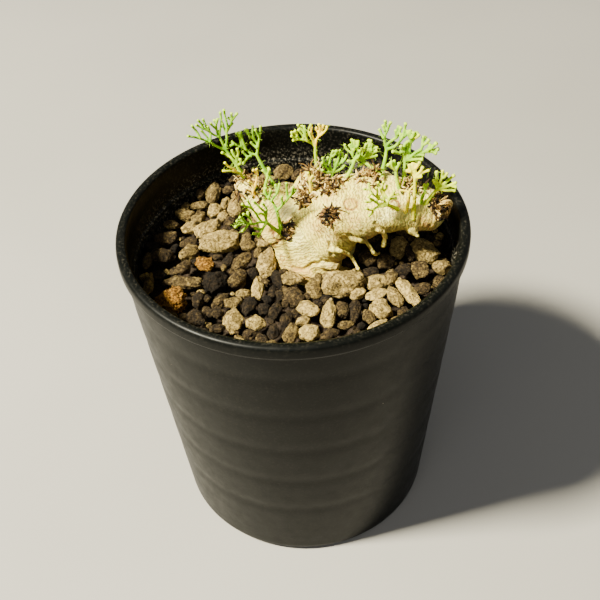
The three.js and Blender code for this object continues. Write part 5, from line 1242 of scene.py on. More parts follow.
# Each leaf: where its stalk leaves the stem, where it divides, the way that it points and its upper side's
# way; its age from green to yellow, how stout it is, and its seed; its twigs, each a line of points laid
# flat, with the fork at 0, 0 and the second number along the leaf's way.
LEAVES = [
    ("left_tall", (-9.7, 9.5, 15.4), (-13.2, 10.9, 22.2), (-0.59, 0.14, 0.79), (0.29, -0.88, 0.37),
     0.1, 1, 11,
     [(0, 0, -0.8, 1.7, -1.4, 3.8, -2.3, 5.8, -3.2, 7.4, -3.9, 8.5), (-2.3, 5.9, -1.9, 7.4, -1.8, 9.3),
      (-1.4, 3.9, -1.1, 5.1, -1, 6.9), (-1.4, 3.8, -0.1, 5.1, 0.6, 6.7),
      (0, 0, 0.4, 1.4, 0.8, 2.8, 1, 3.7, 1.6, 4.8, 2.2, 5.7, 2.4, 6.7), (2.2, 5.7, 3.1, 6.5),
      (1.5, 4.7, 1.4, 5.8, 1.4, 6.7), (0.8, 3.1, 0.3, 4.3, 0.1, 5.3, -0.2, 6.3, -0.7, 7.6, -1, 8.7),
      (0, 5.7, 0.4, 7.2, 0.8, 8.6), (-0.4, 6.8, -0.1, 8, -0.1, 9.2), (0.8, 2.9, 1.9, 4, 3.1, 5.2, 4.4, 7.1),
      (0, 0, 1.3, 1.4, 2.4, 2.7, 3.4, 3.7, 4, 4.9, 4.6, 6.1, 5.2, 7.2), (2.5, 2.8, 2.8, 3.9, 3.2, 5.1),
      (2.6, 2.9, 3.4, 3.2, 4.3, 3.8, 5.1, 4.5, 5.9, 5.5), (4.9, 4.4, 4.8, 5.2),
      (4.7, 4.2, 5.5, 4.3, 6.7, 4.7), (3.8, 3.4, 4.8, 3.6)]),
    ("left_middle", (-9.3, 9, 15.7), (-11.2, 9.6, 19.1), (-0.19, 0.26, 0.95), (-0.13, -0.96, 0.23),
     0.3, 1, 12,
     [(0, 0, -0.3, 1.2, -0.7, 2, -1.3, 2.6, -2.1, 3.6), (0, 0, 0.4, 0.8, 0.5, 1.7, 0.1, 2.6, 0, 3.6),
      (0.5, 1.4, 1.2, 2.7, 1.2, 3.7), (0, 0, 1.1, 0.3, 1.2, 1.3)]),
    ("left_low", (-9.5, 9.4, 15.5), (-10.6, 9.1, 17.6), (-0.88, -0.44, 0.18), (0.48, -0.82, 0.31),
     0.5, 1, 13,
     [(0, 0, 0.2, 1.2, 0.7, 2.4, 1, 4.2), (0.2, 0.9, 1, 1.5, 1.6, 2.6, 2.3, 3.4, 2.9, 3.9)]),
    ("left_inner", (-3.4, 8.8, 13.6), (-6.8, 11.6, 20), (0.16, 0.35, 0.92), (-0.25, -0.89, 0.38),
     0.12, 1, 14,
     [(0, 0, 0.1, 1.7, 0.2, 3, 0.3, 4.3, 0.4, 5.6, 0.4, 6.5), (0.3, 4, -0.3, 5.3, -0.5, 5.7),
      (0.2, 1.9, -0.9, 3.2, -1.6, 3.8, -2.3, 4.6, -2.9, 5.4), (-2, 4.2, -2.2, 5, -2.3, 5.5),
      (-0.9, 3.2, -1.1, 4.9, -1.2, 6.4), (0.1, 1.5, -0.9, 2, -1.5, 2.6),
      (0, 0, -1.4, 0.2, -2.3, 0.9, -3.3, 1.4, -4.3, 1.8, -5.4, 2.4), (-4.6, 2, -5.5, 1.5),
      (-3.1, 1.3, -3.5, 2.8, -4, 3.8, -4.5, 4.4), (-2.2, 0.8, -2.8, 2.5, -3.4, 3.9, -3.7, 4.7),
      (-0.8, 0.1, -1.8, -0.6, -2.6, -0.1, -3.1, 0.4), (-1.6, -0.5, -2.2, -1.5, -2.6, -2.2)]),
    ("left_yellow", (-7.7, 5.3, 14.2), (-7.7, 5.2, 15.8), (0.13, 0.22, 0.97), (0.15, -0.97, 0.2),
     0.95, 1, 15,
     [(0, 0, 0.3, 1.1, 0.5, 3, 0.1, 4.9), (0.5, 3.2, 0, 4.1, -0.7, 4.8), (0, 0, -0.6, 1.2, -1.4, 1.9)]),
    ("left_bud", (-5.6, 4.3, 13.7), (-5, 5.4, 17.5), (-0.23, 0.45, 0.86), (-0.33, -0.87, 0.37),
     0.3, 1, 16,
     [(0, 0, 0.9, 1.3, 1.5, 2.7), (0.9, 1.4, 1.8, 2.4), (0.4, 0.6, 0.3, 1.6, -0.1, 2.5)]),
    ("front_tall", (-2.5, -0.7, 8.7), (-3.1, -1.7, 15.1), (0.1, 0.33, 0.94), (-0.21, -0.92, 0.35),
     0.12, 1, 17,
     [(0, 0, 0.7, 0.8, 1.4, 1.7, 2, 2.5, 2.7, 3.5, 3.5, 4.4, 4.1, 5.5), (3.1, 4, 3.4, 5.1, 3.6, 6.1),
      (2.2, 2.7, 2.1, 3.9, 2, 5.2, 2, 6.5), (1.3, 1.5, 1.1, 2.6, 1.1, 3.5),
      (0, 0, -0.5, 0.9, -0.9, 1.7, -1.5, 2.3, -2.1, 2.8, -2.4, 3.8, -2.4, 4.8),
      (-1.2, 1.9, -0.5, 3.2, 0.1, 4, 0.4, 5.2, 0.5, 6.1), (0, 4, -0.1, 4.7, -0.4, 5.7),
      (-1.8, 2.5, -1.5, 3.4, -1.3, 4.4)]),
    ("front_low", (-2.6, -0.9, 8.3), (-5.3, -2.4, 12.6), (-0.09, 0.34, 0.93), (0.29, -0.89, 0.35),
     0.15, 1, 18,
     [(0, 0, -0.8, 0.3, -1.8, 0.5, -3, 0.7, -4.4, 1.3, -5.4, 2, -6.9, 2.8), (-5.1, 1.8, -6.4, 1.9, -7.6, 2),
      (-3.5, 0.9, -3.8, 2.2, -4.4, 3.1, -5.1, 3.7), (-4, 2.5, -4, 3.2, -3.9, 3.8),
      (-4.7, 1.5, -5.3, 2.7, -6.1, 3.4), (-4.3, 1.3, -5, 0.6, -6, 0.2),
      (0, 0, -0.5, -0.4, -1, -0.9, -1.7, -1.6, -2.5, -2.5), (-1.4, -1.2, -2.3, -1.7, -3.5, -1.3),
      (-1.2, -1.1, -2.3, -0.8, -3, -0.2), (0, 0, -0.1, 1, -0.3, 1.8, -0.9, 2.3, -1.8, 2.6),
      (-0.1, 0.8, 0.3, 2.2, 0.3, 3.2, -0.5, 4.6), (0.3, 2, -0.8, 3.3, -1.7, 4.6, -2.4, 5.6),
      (-1, 0.3, -1.6, 1.4, -2.3, 3, -2.9, 4.3, -3.6, 6.2), (-2.7, 3.8, -3.4, 4.5, -4.5, 5.3, -5.1, 6)]),
    ("middle_high", (6.2, 12.5, 14.7), (5.9, 13.4, 20), (-0.16, 0.42, 0.89), (0.07, -0.9, 0.44),
     0.35, 1, 19,
     [(0, 0, -0.5, 0.8, -1.1, 1.3, -1.7, 1.9, -2.4, 2.2, -3, 2.4, -3.6, 2.5, -4.5, 2.6),
      (-3.4, 2.4, -3.9, 3, -4.7, 3.7), (-3, 2.4, -3.3, 3.1, -3.7, 3.8, -4.5, 4.4),
      (-3.4, 3.2, -3.4, 3.9, -3.7, 4.6), (-2.2, 2.1, -2.3, 3.1, -2.6, 3.8, -2.9, 4.6),
      (-1.4, 1.6, -1.6, 2.5, -1.8, 3.2, -1.9, 3.9, -2.3, 4.7, -2.8, 5.7), (-2, 4.1, -2, 4.6, -2, 5.2),
      (-1.7, 2.9, -1.6, 4, -1.5, 5), (-1.6, 2.6, -1.3, 3.3, -0.9, 3.9, -0.4, 4.4, 0.1, 5),
      (0, 0, -0.2, 1.2, -0.5, 2.2, -0.7, 3, -0.6, 3.5),
      (-0.1, 0.5, 0, 1.5, -0.1, 2.2, -0.3, 3, -0.2, 3.7, 0.1, 4.4),
      (0, 0, 0.3, 1, 0.6, 1.6, 1.1, 2, 1.7, 2.3, 2.4, 2.8, 3, 3.4, 3.2, 4),
      (1.9, 2.5, 2, 3.1, 2.2, 3.6, 2.6, 4.3), (1.1, 2, 1.3, 2.8, 1.6, 3.4, 1.7, 3.9, 1.6, 4.7),
      (1.3, 2.8, 1, 3.4, 1, 4)]),
    ("middle_bud", (4.3, 4.5, 14.4), (4.2, 4.4, 17.7), (-0.17, 0.29, 0.94), (-0.04, -0.96, 0.29),
     0.7, 1, 20,
     [(0, 0, -0.1, 0.9, 0, 2), (0, 0, 0.4, 0.6, 0.9, 1.1)]),
    ("back_left", (8.4, 6.9, 15.5), (9.1, 7.5, 17.2), (0.21, 0.43, 0.88), (0.25, -0.89, 0.37),
     0.16, 1, 21,
     [(0, 0, -1.4, 0.8, -2.3, 2, -3.1, 3.1), (-1.9, 1.4, -1.6, 2.2, -1.8, 3.3),
      (0, 0, -0.7, 1.2, -0.8, 2.3, -0.9, 3.3, -1, 4.1, -0.9, 4.8), (-0.9, 3.4, -0.3, 4.1, -0.3, 5),
      (-1.4, 0.8, -2.5, 1.4, -3.1, 2.1), (0, 0, 0.4, 1.1, 0.5, 2.2, 0.6, 3.3, 0.5, 4.1, 0.4, 4.9),
      (0.5, 4.1, 0.9, 5), (0.4, 1.1, 0, 2.1, 0, 3.1), (0.4, 1.4, 1.2, 2.3, 1.5, 3.4, 1.4, 4.5),
      (1.3, 2.4, 1.9, 3.2, 2.2, 4.3), (0, 0, 1.1, 0.6, 1.8, 1.3, 2.2, 2.1), (0, 0, -1.5, 0, -2.7, 0.5)]),
    ("back_middle", (11.8, 5.4, 16.9), (13.9, 7.3, 20.3), (0.1, 0.31, 0.95), (-0.32, -0.89, 0.32),
     0.25, 1, 22,
     [(0, 0, -0.6, 1, -1.1, 1.6, -1.8, 2, -2.2, 2.5, -2.4, 3.1), (-0.5, 0.8, -0.5, 1.7, -0.8, 2.4, -1.4, 3.2),
      (-0.7, 2.2, -0.7, 3.1, -1, 4.4), (-0.5, 1.7, -0.1, 2.6, -0.2, 3.4, -0.4, 4.4),
      (0, 0, 0.3, 1.3, 0.5, 2.4, 0.3, 3.5, 0.1, 4.3), (0.4, 2.9, 0.7, 3.8, 0.6, 4.5),
      (0, 0, -0.8, -0.4, -1.5, -0.3), (0, 0, 0.9, 1, 1.1, 1.9, 1, 2.4)]),
    ("back_right", (18.7, 4.7, 18.3), (15.8, 8.1, 19.2), (0.34, 0.45, 0.83), (0.08, -0.89, 0.45),
     0.32, 1, 23,
     [(0, 0, -0.6, 0.8, -0.8, 1.6, -0.6, 2.4, -0.7, 3.1, -0.6, 3.8), (-0.7, 2.1, -1, 2.3, -1.4, 2.6),
      (0, 0, -0.1, 0.9, 0.1, 1.8, 0.2, 2.6, 0.1, 3.4, -0.4, 4.7), (0.1, 3.2, 0.2, 3.9, 0.1, 4.8),
      (-0.1, 1.1, 0.6, 1.6, 0.8, 2.4, 1.1, 3, 1.3, 3.4, 1.9, 3.7), (0.9, 2.5, 0.6, 3.2, 0.5, 4.1),
      (0.6, 1.6, 1.2, 2.1, 1.5, 2.5, 2, 3), (-0.1, 0.7, 0.8, 1.2, 1.5, 1.6, 2.3, 2.1),
      (0, 0, -0.8, 0.2, -1.4, 0), (0, 0, -0.3, -0.7, -0.9, -1)]),
    ("right_upright", (19.1, 4.5, 18.1), (20.5, 7.2, 22.6), (-0.05, 0.38, 0.92), (-0.42, -0.85, 0.33),
     0.14, 1.12, 24,
     [(0, 0, -0.2, 1.2, -0.1, 2.4, 0.1, 3.7, 0.2, 5, 0.3, 6.1), (0.1, 3.9, -0.2, 4.5, -0.3, 5.2),
      (0, 3.1, 0.6, 4.1, 1.1, 5, 1.7, 5.9), (-0.1, 2.4, -0.6, 3.3, -0.9, 4, -1.1, 4.4),
      (-0.1, 0.6, 0.8, 1.5, 1.7, 2.1, 2.5, 2.5, 3, 3.4, 3, 4.2, 3.4, 5.1), (2.9, 3.2, 3.5, 3.9, 4, 4.9),
      (2.4, 2.4, 2.5, 3.4, 2.6, 4.2),
      (0, 0, 1.3, 0.4, 2.3, 0.9, 3.3, 1.8, 4, 2.5, 4.5, 3.5, 4.7, 4.3, 5.2, 5.8),
      (4, 2.5, 5.1, 3.4, 5.5, 4.2), (3.8, 2.3, 3.8, 3, 3.8, 3.6)]),
    ("right_tall", (23.2, 1, 17.5), (23.8, 2.9, 22.6), (0.2, 0.42, 0.88), (0.07, -0.91, 0.42),
     0.2, 1.22, 25,
     [(0, 0, 0.4, 0.9, 0.6, 2, 0.6, 3, 0.3, 4.2, 0, 5.4, -0.3, 6.3), (0.2, 4.6, 0.5, 5.4, 0.4, 6.1),
      (0.5, 3.6, 0.9, 4.5, 1, 5.3, 1.1, 6.2), (0.9, 4.9, 1.4, 5.3, 1.6, 5.8),
      (0.3, 4.4, -0.3, 5.2, -0.6, 5.8),
      (0.1, 0.2, 0.9, 0.8, 1.5, 1.6, 2.1, 2.3, 2.6, 2.9, 2.7, 3.8, 2.6, 4.6, 2.6, 5.5),
      (2.6, 4.4, 3, 4.9, 3.2, 5.5), (2.7, 3.7, 3.3, 4.2, 3.8, 5.1),
      (2.1, 2.2, 3.1, 2.3, 3.8, 2.9, 4.1, 3.5, 4.2, 4.2), (3.8, 3, 4.5, 3.4, 4.8, 4, 5.2, 4.7),
      (3.2, 2.5, 4.2, 2.6, 4.9, 2.9, 5.4, 3.2, 6, 3.5), (4.5, 2.8, 5.1, 2.7, 5.7, 2.5),
      (1.1, 1, 2, 1.4, 2.8, 1.7, 3.5, 1.8), (0, 0, 1.5, 0.4, 2.5, 0.7, 3.4, 0.8),
      (0, 0, -0.5, 1.2, -0.8, 2.4, -0.6, 3.4, -0.1, 3.9), (-0.7, 2, -1.4, 2.6, -1.7, 3),
      (-0.3, 0.7, 0, 1.9, 0, 2.7, -0.3, 3.3), (-0.7, 2, -1.6, 1.4, -2.3, 1.6, -3.2, 1.6)]),
    ("right_small", (22.5, 0.2, 17.4), (21.8, 1.1, 21.2), (-0.55, 0.16, 0.82), (0.21, -0.92, 0.32),
     0.3, 1.1, 26,
     [(0, 0, 0.2, 0.9, 0.6, 1.6, 1.1, 2.2), (0.1, 0.4, 0, 1.6, 0.4, 2.6), (0.1, 0.7, -0.3, 1.7, -0.5, 2.5),
      (0, 0, 0.6, 0.6, 1.1, 0.9, 1.5, 1.4)]),
    ("right_yellow", (25, -4.3, 14.2), (25.1, -2.9, 22.4), (0.16, 0.43, 0.89), (-0.31, -0.83, 0.46),
     0.62, 1.1, 27,
     [(0, 0, -0.6, 0.9, -1.2, 1.6, -1.5, 2.5), (-0.8, 1.2, -1.3, 1.1, -1.8, 1.3),
      (0, 0, -0.1, 1.2, -0.2, 2, -0.1, 2.8), (-0.1, 1.8, 0.3, 2.5, 0.6, 3.3), (-0.1, 1.4, -0.6, 2, -0.8, 2.9),
      (0, 0, 0.6, 0.9, 1, 1.5, 1.3, 2.4), (0.3, 0.6, 1.1, 1.1, 1.9, 1.5, 2.6, 1.9),
      (0, 0, 0.7, 0.2, 1.4, 0.5)]),
    ("right_end", (27.8, -2.7, 15.6), (30.2, -1.4, 18.1), (0.38, 0.32, 0.87), (0.06, -0.94, 0.32),
     0.42, 1.15, 28,
     [(0, 0, -0.7, 0.9, -1.1, 2, -1.5, 2.8, -1.9, 3.5), (-0.6, 0.8, -1.2, 1, -1.7, 1.6),
      (0, 0, -0.1, 1.1, -0.1, 2, -0.4, 3.1, -0.8, 4.1), (-0.2, 2.5, 0.2, 3, 0.3, 3.9),
      (0, 0, 0.6, 1.1, 1.1, 2, 1.6, 2.8, 2.1, 3.8), (0.2, 0.3, 1.1, 0.9, 1.9, 1.7, 2.8, 2.7),
      (0, 0, 1.2, 0.2, 2.3, 0.6, 3.4, 0.9), (1.9, 1.7, 2.6, 1.7, 3.2, 1.8)]),
    ("over_arm", (21.7, -3.8, 15.3), (19.3, -5.8, 18.1), (-0.25, 0.25, 0.94), (0.05, -0.96, 0.27),
     0.45, 0.95, 29,
     [(0, 0, -0.3, 1, -0.3, 2, -0.4, 3, -0.4, 3.9, -0.5, 4.7, -0.6, 5.6),
      (1.2, 1.9, 1.9, 1.8, 2.7, 1.9), (0, 2.8, 0.7, 3.4, 1, 4.2), (-0.4, 3.9, 0.3, 4.7, 0.5, 5.5),
      (-1.6, 2.6, -1.1, 3.6, -1.2, 4.6), (-2.4, 2.3, -3.3, 2.4, -4.1, 2.9), (-2.1, 1.3, -1.4, 1.9, -1, 2.6),
      (-2.8, 0.3, -3.4, -0.2, -4.2, -0.2), (0.6, 1.2, 1.4, 1.1, 2.2, 0.8),
      (0, 0, 0.6, 1.2, 1.2, 1.9, 1.8, 2.3, 2.1, 2.9), (0.5, 1, 0.3, 1.9, 0, 2.8, 0, 3.8),
      (-0.3, 1.3, -1.4, 2.2, -1.7, 2.9, -2.1, 3.6, -2.3, 4.3, -2.5, 5.1, -2.4, 6.2),
      (-2.4, 4.8, -3.1, 5.1, -3.7, 5.5), (-2.2, 4.1, -2.8, 4, -3.3, 3.5),
      (0, 0, -0.9, 0.7, -1.8, 1, -2.2, 1.6, -2.5, 2.4, -3, 3),
      (0, 0, -0.8, 0.1, -1.8, 0.4, -2.8, 0.3, -3.6, 0.7, -4.3, 1.6)]),
    ("arm_front", (23.4, -4.1, 15), (23.7, -5.1, 19.6), (0.12, 0.26, 0.96), (-0.38, -0.88, 0.29),
     0.8, 0.8, 30,
     [(0, 0, -0.3, 0.8, -1, 0.9, -1.9, 0.9), (0, 0, 0, 1, 0.3, 1.7, 0.7, 2.3)]),
    ("arm_tip", (26.7, -2.7, 15.7), (27.4, -2.6, 18.4), (0.32, 0.4, 0.86), (0.12, -0.92, 0.38),
     0.25, 1, 31,
     [(0, 0, -0.1, 0.8, 0.1, 1.8), (0, 0, -0.5, 0.8, -0.7, 1.6)]),
]
# Twigs that have yellowed more than their leaf: leaf, first and last of the twigs, and age.
YELLOW_TWIGS = [
    ("middle_high", 10, 14, 0.85),
    ("middle_high", 9, 9, 0.55),
    ("left_low", 1, 1, 0.75),
    ("right_tall", 3, 3, 0.5),
]
STALK_RADIUS = 0.38
TWIG_RADIUS = 0.27
TIP_RADIUS = 0.37
TIP_REACH = 0.95
TIP_END = 0.12
TWIG_STEP = 0.3
LEAF_CUP = 0.16
LEAF_RIPPLE = 0.45
LEAF_STAGGER = 0.4
LEAF_FREE = 2.5
RIPPLE_ACROSS = 1.25
RIPPLE_ALONG = 0.95
FORK_SWELL = 0.22
FORK_REACH = 1.6
TIP_ROUNDING = 0.22
STALK_DEPTH = 1.4
STALK_OVERLAP = 0.2
STALK_FLARE = 0.12
STALK_TAPER = 0.04
STALK_BOW = 0.22
STALK_STEPS = 9
TWIG_SIDES = 10
LEAF_VOXEL = 0.12
LEAF_BAND = 0.24
HAIRS_PER_SQUARE_MILLIMETRE = 1.5
HAIR_LENGTH = 1.05
HAIR_RADIUS = 0.03
LEAF_TONES = ((0.0, "5e9600"), (0.25, "90b600"), (0.5, "c2cc00"), (0.8, "f6d400"), (1, "ffc400"))
LEAF_SPECKS = "b4d810"
LEAF_TIP_AND_HIGHLIGHT = "dcf030"
HAIR_TONES = ((0.3, "9ccc28"), (0.7, "c0e050"))


def flowing(points, spacing):
    """A smooth line through these points, as closely spaced ones."""
    points = np.array(points, float)
    ends = np.vstack([2 * points[0] - points[1], points, 2 * points[-1] - points[-2]])
    line = [points[:1]]
    for before, a, b, after in zip(ends, ends[1:], ends[2:], ends[3:]):
        t = np.linspace(0, 1, 1 + max(1, round(np.linalg.norm(b - a) / spacing)))[1:, None]
        bend = (2 * before - 5 * a + 4 * b - after) * t**2 + (3 * a - before - 3 * b + after) * t**3
        line.append(a + 0.5 * ((b - before) * t + bend))
    return np.vstack(line)


def left_along(line):
    """How far it still is from each point of a line to its end."""
    steps = np.linalg.norm(np.diff(line, axis=0), axis=1)
    return np.append(np.cumsum(steps[::-1])[::-1], 0)


class Strands:
    """Strands gathered for one piece: points with a thickness and two marks, joined in chains."""

    def __init__(self):
        self.points, self.links, self.thickness, self.first, self.second = [], [], [], [], []

    def add(self, points, thickness, first, second):
        start = len(self.points)
        self.points.extend(points)
        self.links.extend((start + i, start + i + 1) for i in range(len(points) - 1))
        for values, more in ((self.thickness, thickness), (self.first, first), (self.second, second)):
            values.extend(np.broadcast_to(more, len(points)))

    def mesh(self, name, first_name, second_name):
        thing = made(name, np.array(self.points) + (0, 0, SOIL_LINE), [], self.links)
        mark(thing.data, "thickness", np.array(self.thickness) * MM)
        mark(thing.data, first_name, self.first)
        mark(thing.data, second_name, self.second)
        return thing


def twig_age(name, number, age):
    for leaf, first, last, yellow in YELLOW_TWIGS:
        if leaf == name and first <= number <= last:
            return yellow
    return age


def leaf_strands(name, root, fork, aim, face, age, stout, seed, twigs):
    """The leaf's stalk and twigs as strands."""
    draw = seeded(seed)
    strands = Strands()
    root, fork, aim, face = (np.array(v, float) for v in (root, fork, aim, face))
    aim /= np.linalg.norm(aim)
    face -= face @ aim * aim
    face /= np.linalg.norm(face)
    across = np.cross(aim, face)
    phases = 6.28 * draw(), 6.28 * draw()
    for number, twig in enumerate(twigs):
        flat = flowing(np.reshape(twig, (-1, 2)), TWIG_STEP)
        onward = flat[-1] - flat[-2]
        flat = np.vstack([flat, flat[-1] + TIP_END * onward / np.linalg.norm(onward)])
        left = left_along(flat)
        x, y = flat.T
        out = np.hypot(x, y)
        rise = LEAF_CUP * np.hypot(x, 0.5 * y) ** 1.5
        free = np.minimum(1, out / LEAF_FREE)
        rise += LEAF_STAGGER * (number % 2 - 0.5) * free
        ripple = LEAF_RIPPLE * np.sin(RIPPLE_ACROSS * x + phases[0])
        rise += ripple * np.sin(RIPPLE_ALONG * y + phases[1]) * free
        spots = fork + flat[:, :1] * across + flat[:, 1:] * aim + rise[:, None] * face
        width = TWIG_RADIUS * (1 + FORK_SWELL * np.exp(-out / FORK_REACH) + 0.06 * (2 * draw() - 1))
        swell = np.clip(1.2 - left / (TIP_REACH * 0.8), 0, 1) ** 1.5
        width = width + (TIP_RADIUS * (0.92 + 0.16 * draw()) - width) * swell
        width = width * np.sqrt(np.clip(0.4 + left / TIP_ROUNDING, 0, 1))
        # How near the tip: the pale tip colour, partly the leaf's own and partly a painted highlight on the
        # cap.
        pale = np.clip(1.25 - left / TIP_REACH, 0, 1)
        strands.add(spots, stout * width, pale, twig_age(name, number, age))
    rise = (fork - root) / np.linalg.norm(fork - root)
    bow = np.cross(rise, face) * STALK_BOW * (2 * draw() - 1)
    t = np.linspace(0, 1, STALK_STEPS)
    stalk = root + t[:, None] * (fork - root) + np.sin(np.pi * t)[:, None] * bow
    stalk = np.vstack([root - STALK_DEPTH * rise, stalk, fork + STALK_OVERLAP * rise])
    width = np.linspace(STALK_RADIUS + STALK_FLARE, STALK_RADIUS - STALK_TAPER, len(stalk))
    strands.add(stalk, width, 0, age)
    return strands


def strand_tubes(tree, given):
    """Round closed tubes along the strands of a mesh."""
    curves = node(tree, "GeometryNodeMeshToCurve", {"Mesh": given["Geometry"]})
    ring = node(tree, "GeometryNodeCurvePrimitiveCircle", {"Resolution": given["Sides"], "Radius": 1.0})
    return node(
        tree,
        "GeometryNodeCurveToMesh",
        {
            "Curve": curves.outputs[0],
            "Profile Curve": ring.outputs[0],
            "Scale": kept(tree, "thickness"),
            "Fill Caps": True,
        },
    ).outputs[0]


def blurred(tree, value, times, kind="FLOAT"):
    settings = {"Value": value, "Iterations": times}
    return node(tree, "GeometryNodeBlurAttribute", settings, data_type=kind).outputs[0]


def leaf_tree(flesh, hair_coat):
    """One smooth body from a leaf's strands, with hairs standing out of it."""
    tree, given, result = new_tree(
        "leaf",
        sides=int,
        voxel=float,
        band=float,
        hair_density=float,
        hair_length=float,
        hair_radius=float,
        seed=int,
    )
    tubes = strand_tubes(tree, given)
    volume = node(
        tree,
        "GeometryNodeMeshToVolume",
        {"Mesh": tubes, "Voxel Size": given["Voxel"], "Interior Band Width": given["Band"]},
        resolution_mode="VOXEL_SIZE",
    )
    body = node(tree, "GeometryNodeVolumeToMesh", {"Volume": volume.outputs[0], "Threshold": 0.1}).outputs[0]
    place = node(tree, "GeometryNodeInputPosition").outputs[0]
    smooth = blurred(tree, place, 1, "FLOAT_VECTOR")
    body = node(tree, "GeometryNodeSetPosition", {"Geometry": body, "Position": smooth}).outputs[0]
    for name in ("pale", "age"):
        nearest = node(tree, "GeometryNodeSampleNearest", {"Geometry": given["Geometry"]}, domain="POINT")
        taken = node(
            tree,
            "GeometryNodeSampleIndex",
            {"Geometry": given["Geometry"], "Value": kept(tree, name), "Index": nearest.outputs[0]},
            data_type="FLOAT",
        )
        soft = blurred(tree, taken.outputs[0], 3)
        body = node(
            tree,
            "GeometryNodeStoreNamedAttribute",
            {"Geometry": body, "Name": name, "Value": soft},
            data_type="FLOAT",
            domain="POINT",
        ).outputs[0]
    body = node(tree, "GeometryNodeSetShadeSmooth", {"Geometry": body}).outputs[0]
    spots = node(
        tree,
        "GeometryNodeDistributePointsOnFaces",
        {"Mesh": body, "Density": given["Hair Density"], "Seed": given["Seed"]},
        distribute_method="RANDOM",
    )
    hair = node(
        tree,
        "GeometryNodeMeshCone",
        {
            "Vertices": 3,
            "Radius Top": 0.0,
            "Radius Bottom": given["Hair Radius"],
            "Depth": given["Hair Length"],
        },
        fill_type="NGON",
    )
    lean = node(
        tree,
        "FunctionNodeRandomValue",
        {0: (-0.5, -0.5, 0), 1: (0.5, 0.5, 6.28), "Seed": given["Seed"]},
        data_type="FLOAT_VECTOR",
    ).outputs[0]
    turn = node(
        tree,
        "FunctionNodeRotateRotation",
        {"Rotation": spots.outputs["Rotation"], "Rotate By": lean},
        rotation_space="LOCAL",
    ).outputs[0]
    size = node(tree, "FunctionNodeRandomValue", {2: 0.45, 3: 1.15, "Seed": given["Seed"]}, data_type="FLOAT")
    hairs = scattered(tree, spots.outputs["Points"], hair.outputs[0], rotation=turn, scale=size.outputs[1])
    hairs = realized(tree, coated(tree, hairs, hair_coat))
    both = node(tree, "GeometryNodeJoinGeometry")
    tree.links.new(hairs, both.inputs[0])
    tree.links.new(coated(tree, body, flesh), both.inputs[0])
    tree.links.new(realized(tree, both.outputs[0]), result["Geometry"])
    return tree


def leaf_finish():
    material, tree, shader, where = finish(
        "leaf_flesh", roughness=0.65, specular_ior_level=0.12, subsurface_weight=0.25, subsurface_scale=0.0006
    )
    shader.inputs["Subsurface Radius"].default_value = (0.7, 1.0, 0.1)
    patches = cloudy(tree, where, 0.7, 3)
    fine = cloudy(tree, where, 5, 3)
    age = reckoned(tree, "ADD", read(tree, "age"), levelled(tree, patches, 0.35, 0.65, -0.12, 0.12))
    flesh = ramped(tree, age, LEAF_TONES)
    flesh = mixed(tree, levelled(tree, fine, 0.45, 0.7, 0, 0.2), flesh, shade(LEAF_SPECKS))
    # Pale tips: partly the leaf's own colour and partly a painted highlight on the round tip caps.
    pale = levelled(tree, read(tree, "pale"), 0.5, 1.1, 0, 0.35)
    flesh = mixed(tree, pale, flesh, shade(LEAF_TIP_AND_HIGHLIGHT))
    tree.links.new(flesh, shader.inputs["Base Color"])
    raised(tree, shader, fine, 0.05, 0.6)
    return material


def hair_finish():
    material, tree, shader, where = finish("leaf_hair", roughness=0.6, specular_ior_level=0.2)
    tone = ramped(tree, cloudy(tree, where, 1.2, 2), HAIR_TONES)
    tree.links.new(tone, shader.inputs["Base Color"])
    return material


leaf_nodes = leaf_tree(leaf_finish(), hair_finish())
for name, root, fork, aim, face, age, stout, seed, twigs in LEAVES:
    strands = leaf_strands(name, root, fork, aim, face, age, stout, seed, twigs)
    leaf = strands.mesh(name + "_leaf", "pale", "age")
    grown(
        leaf,
        leaf_nodes,
        sides=TWIG_SIDES,
        voxel=LEAF_VOXEL * MM,
        band=LEAF_BAND * MM,
        hair_density=HAIRS_PER_SQUARE_MILLIMETRE / MM**2,
        hair_length=HAIR_LENGTH * MM,
        hair_radius=HAIR_RADIUS * MM,
        seed=seed,
    )
    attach(leaf, BODY)
    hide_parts("leaf_" + name)

# The dry tufts
# Where shoots and old leaves died, their stalks stay as tufts of thin curled strands, among short papery
# scales that lie on the skin; at the long limb's end a whole withered shoot has curled over.

# Each tuft: its place, the way that it points, its strands and how long they are, how wide its foot is, its
# seed, and the scales round it and how far they are strewn.
DRY_TUFTS = [
    ("left", (-9.7, 9.5, 15.4), (-0.6, -0.5, 0.7), 10, 3.4, 1.8, 41, 90, 3.4),
    ("left_inner", (-6.4, 6.4, 14.8), (0, -0.6, 0.8), 8, 2.8, 1.5, 42, 50, 2.6),
    ("crotch", (3, 3.6, 13.9), (-0.5, -0.5, 0.8), 8, 2.8, 1.7, 43, 50, 2.5),
    ("middle", (5.8, 8.6, 15.1), (-0.5, 0.1, 0.9), 12, 5, 2.3, 44, 130, 3.9),
    ("saddle", (9.2, 4.4, 16.1), (-0.2, -0.3, 1), 9, 3.2, 1.6, 45, 60, 3.0),
    ("scar", (7.5, -2.9, 14.3), (0, -0.8, 0.6), 13, 3.2, 1.1, 46, 26, 2.0),
    ("front", (-0.9, -0.6, 8.9), (0.2, -0.8, 0.6), 8, 2.1, 1.2, 47, 36, 2.1),
    ("arm", (17.1, 4, 18.4), (-0.2, 0.1, 1), 9, 3, 1.6, 48, 50, 3.4),
    ("arm_right", (25.3, 1.5, 17.4), (0.1, 0.1, 1), 8, 3, 1.5, 49, 60, 3.6),
    ("end", (30.3, -2.8, 14.7), (0.9, -0.4, 0.4), 10, 3, 2.4, 50, 90, 3.0),
]
DARKER_TUFTS = {"scar": 0.4, "front": 0.1, "end": 0.15}
DRY_SPREAD = 62
DRY_BEND = 0.55
STRAND_SIDES = 6
STUBS_PER_CORE = 7
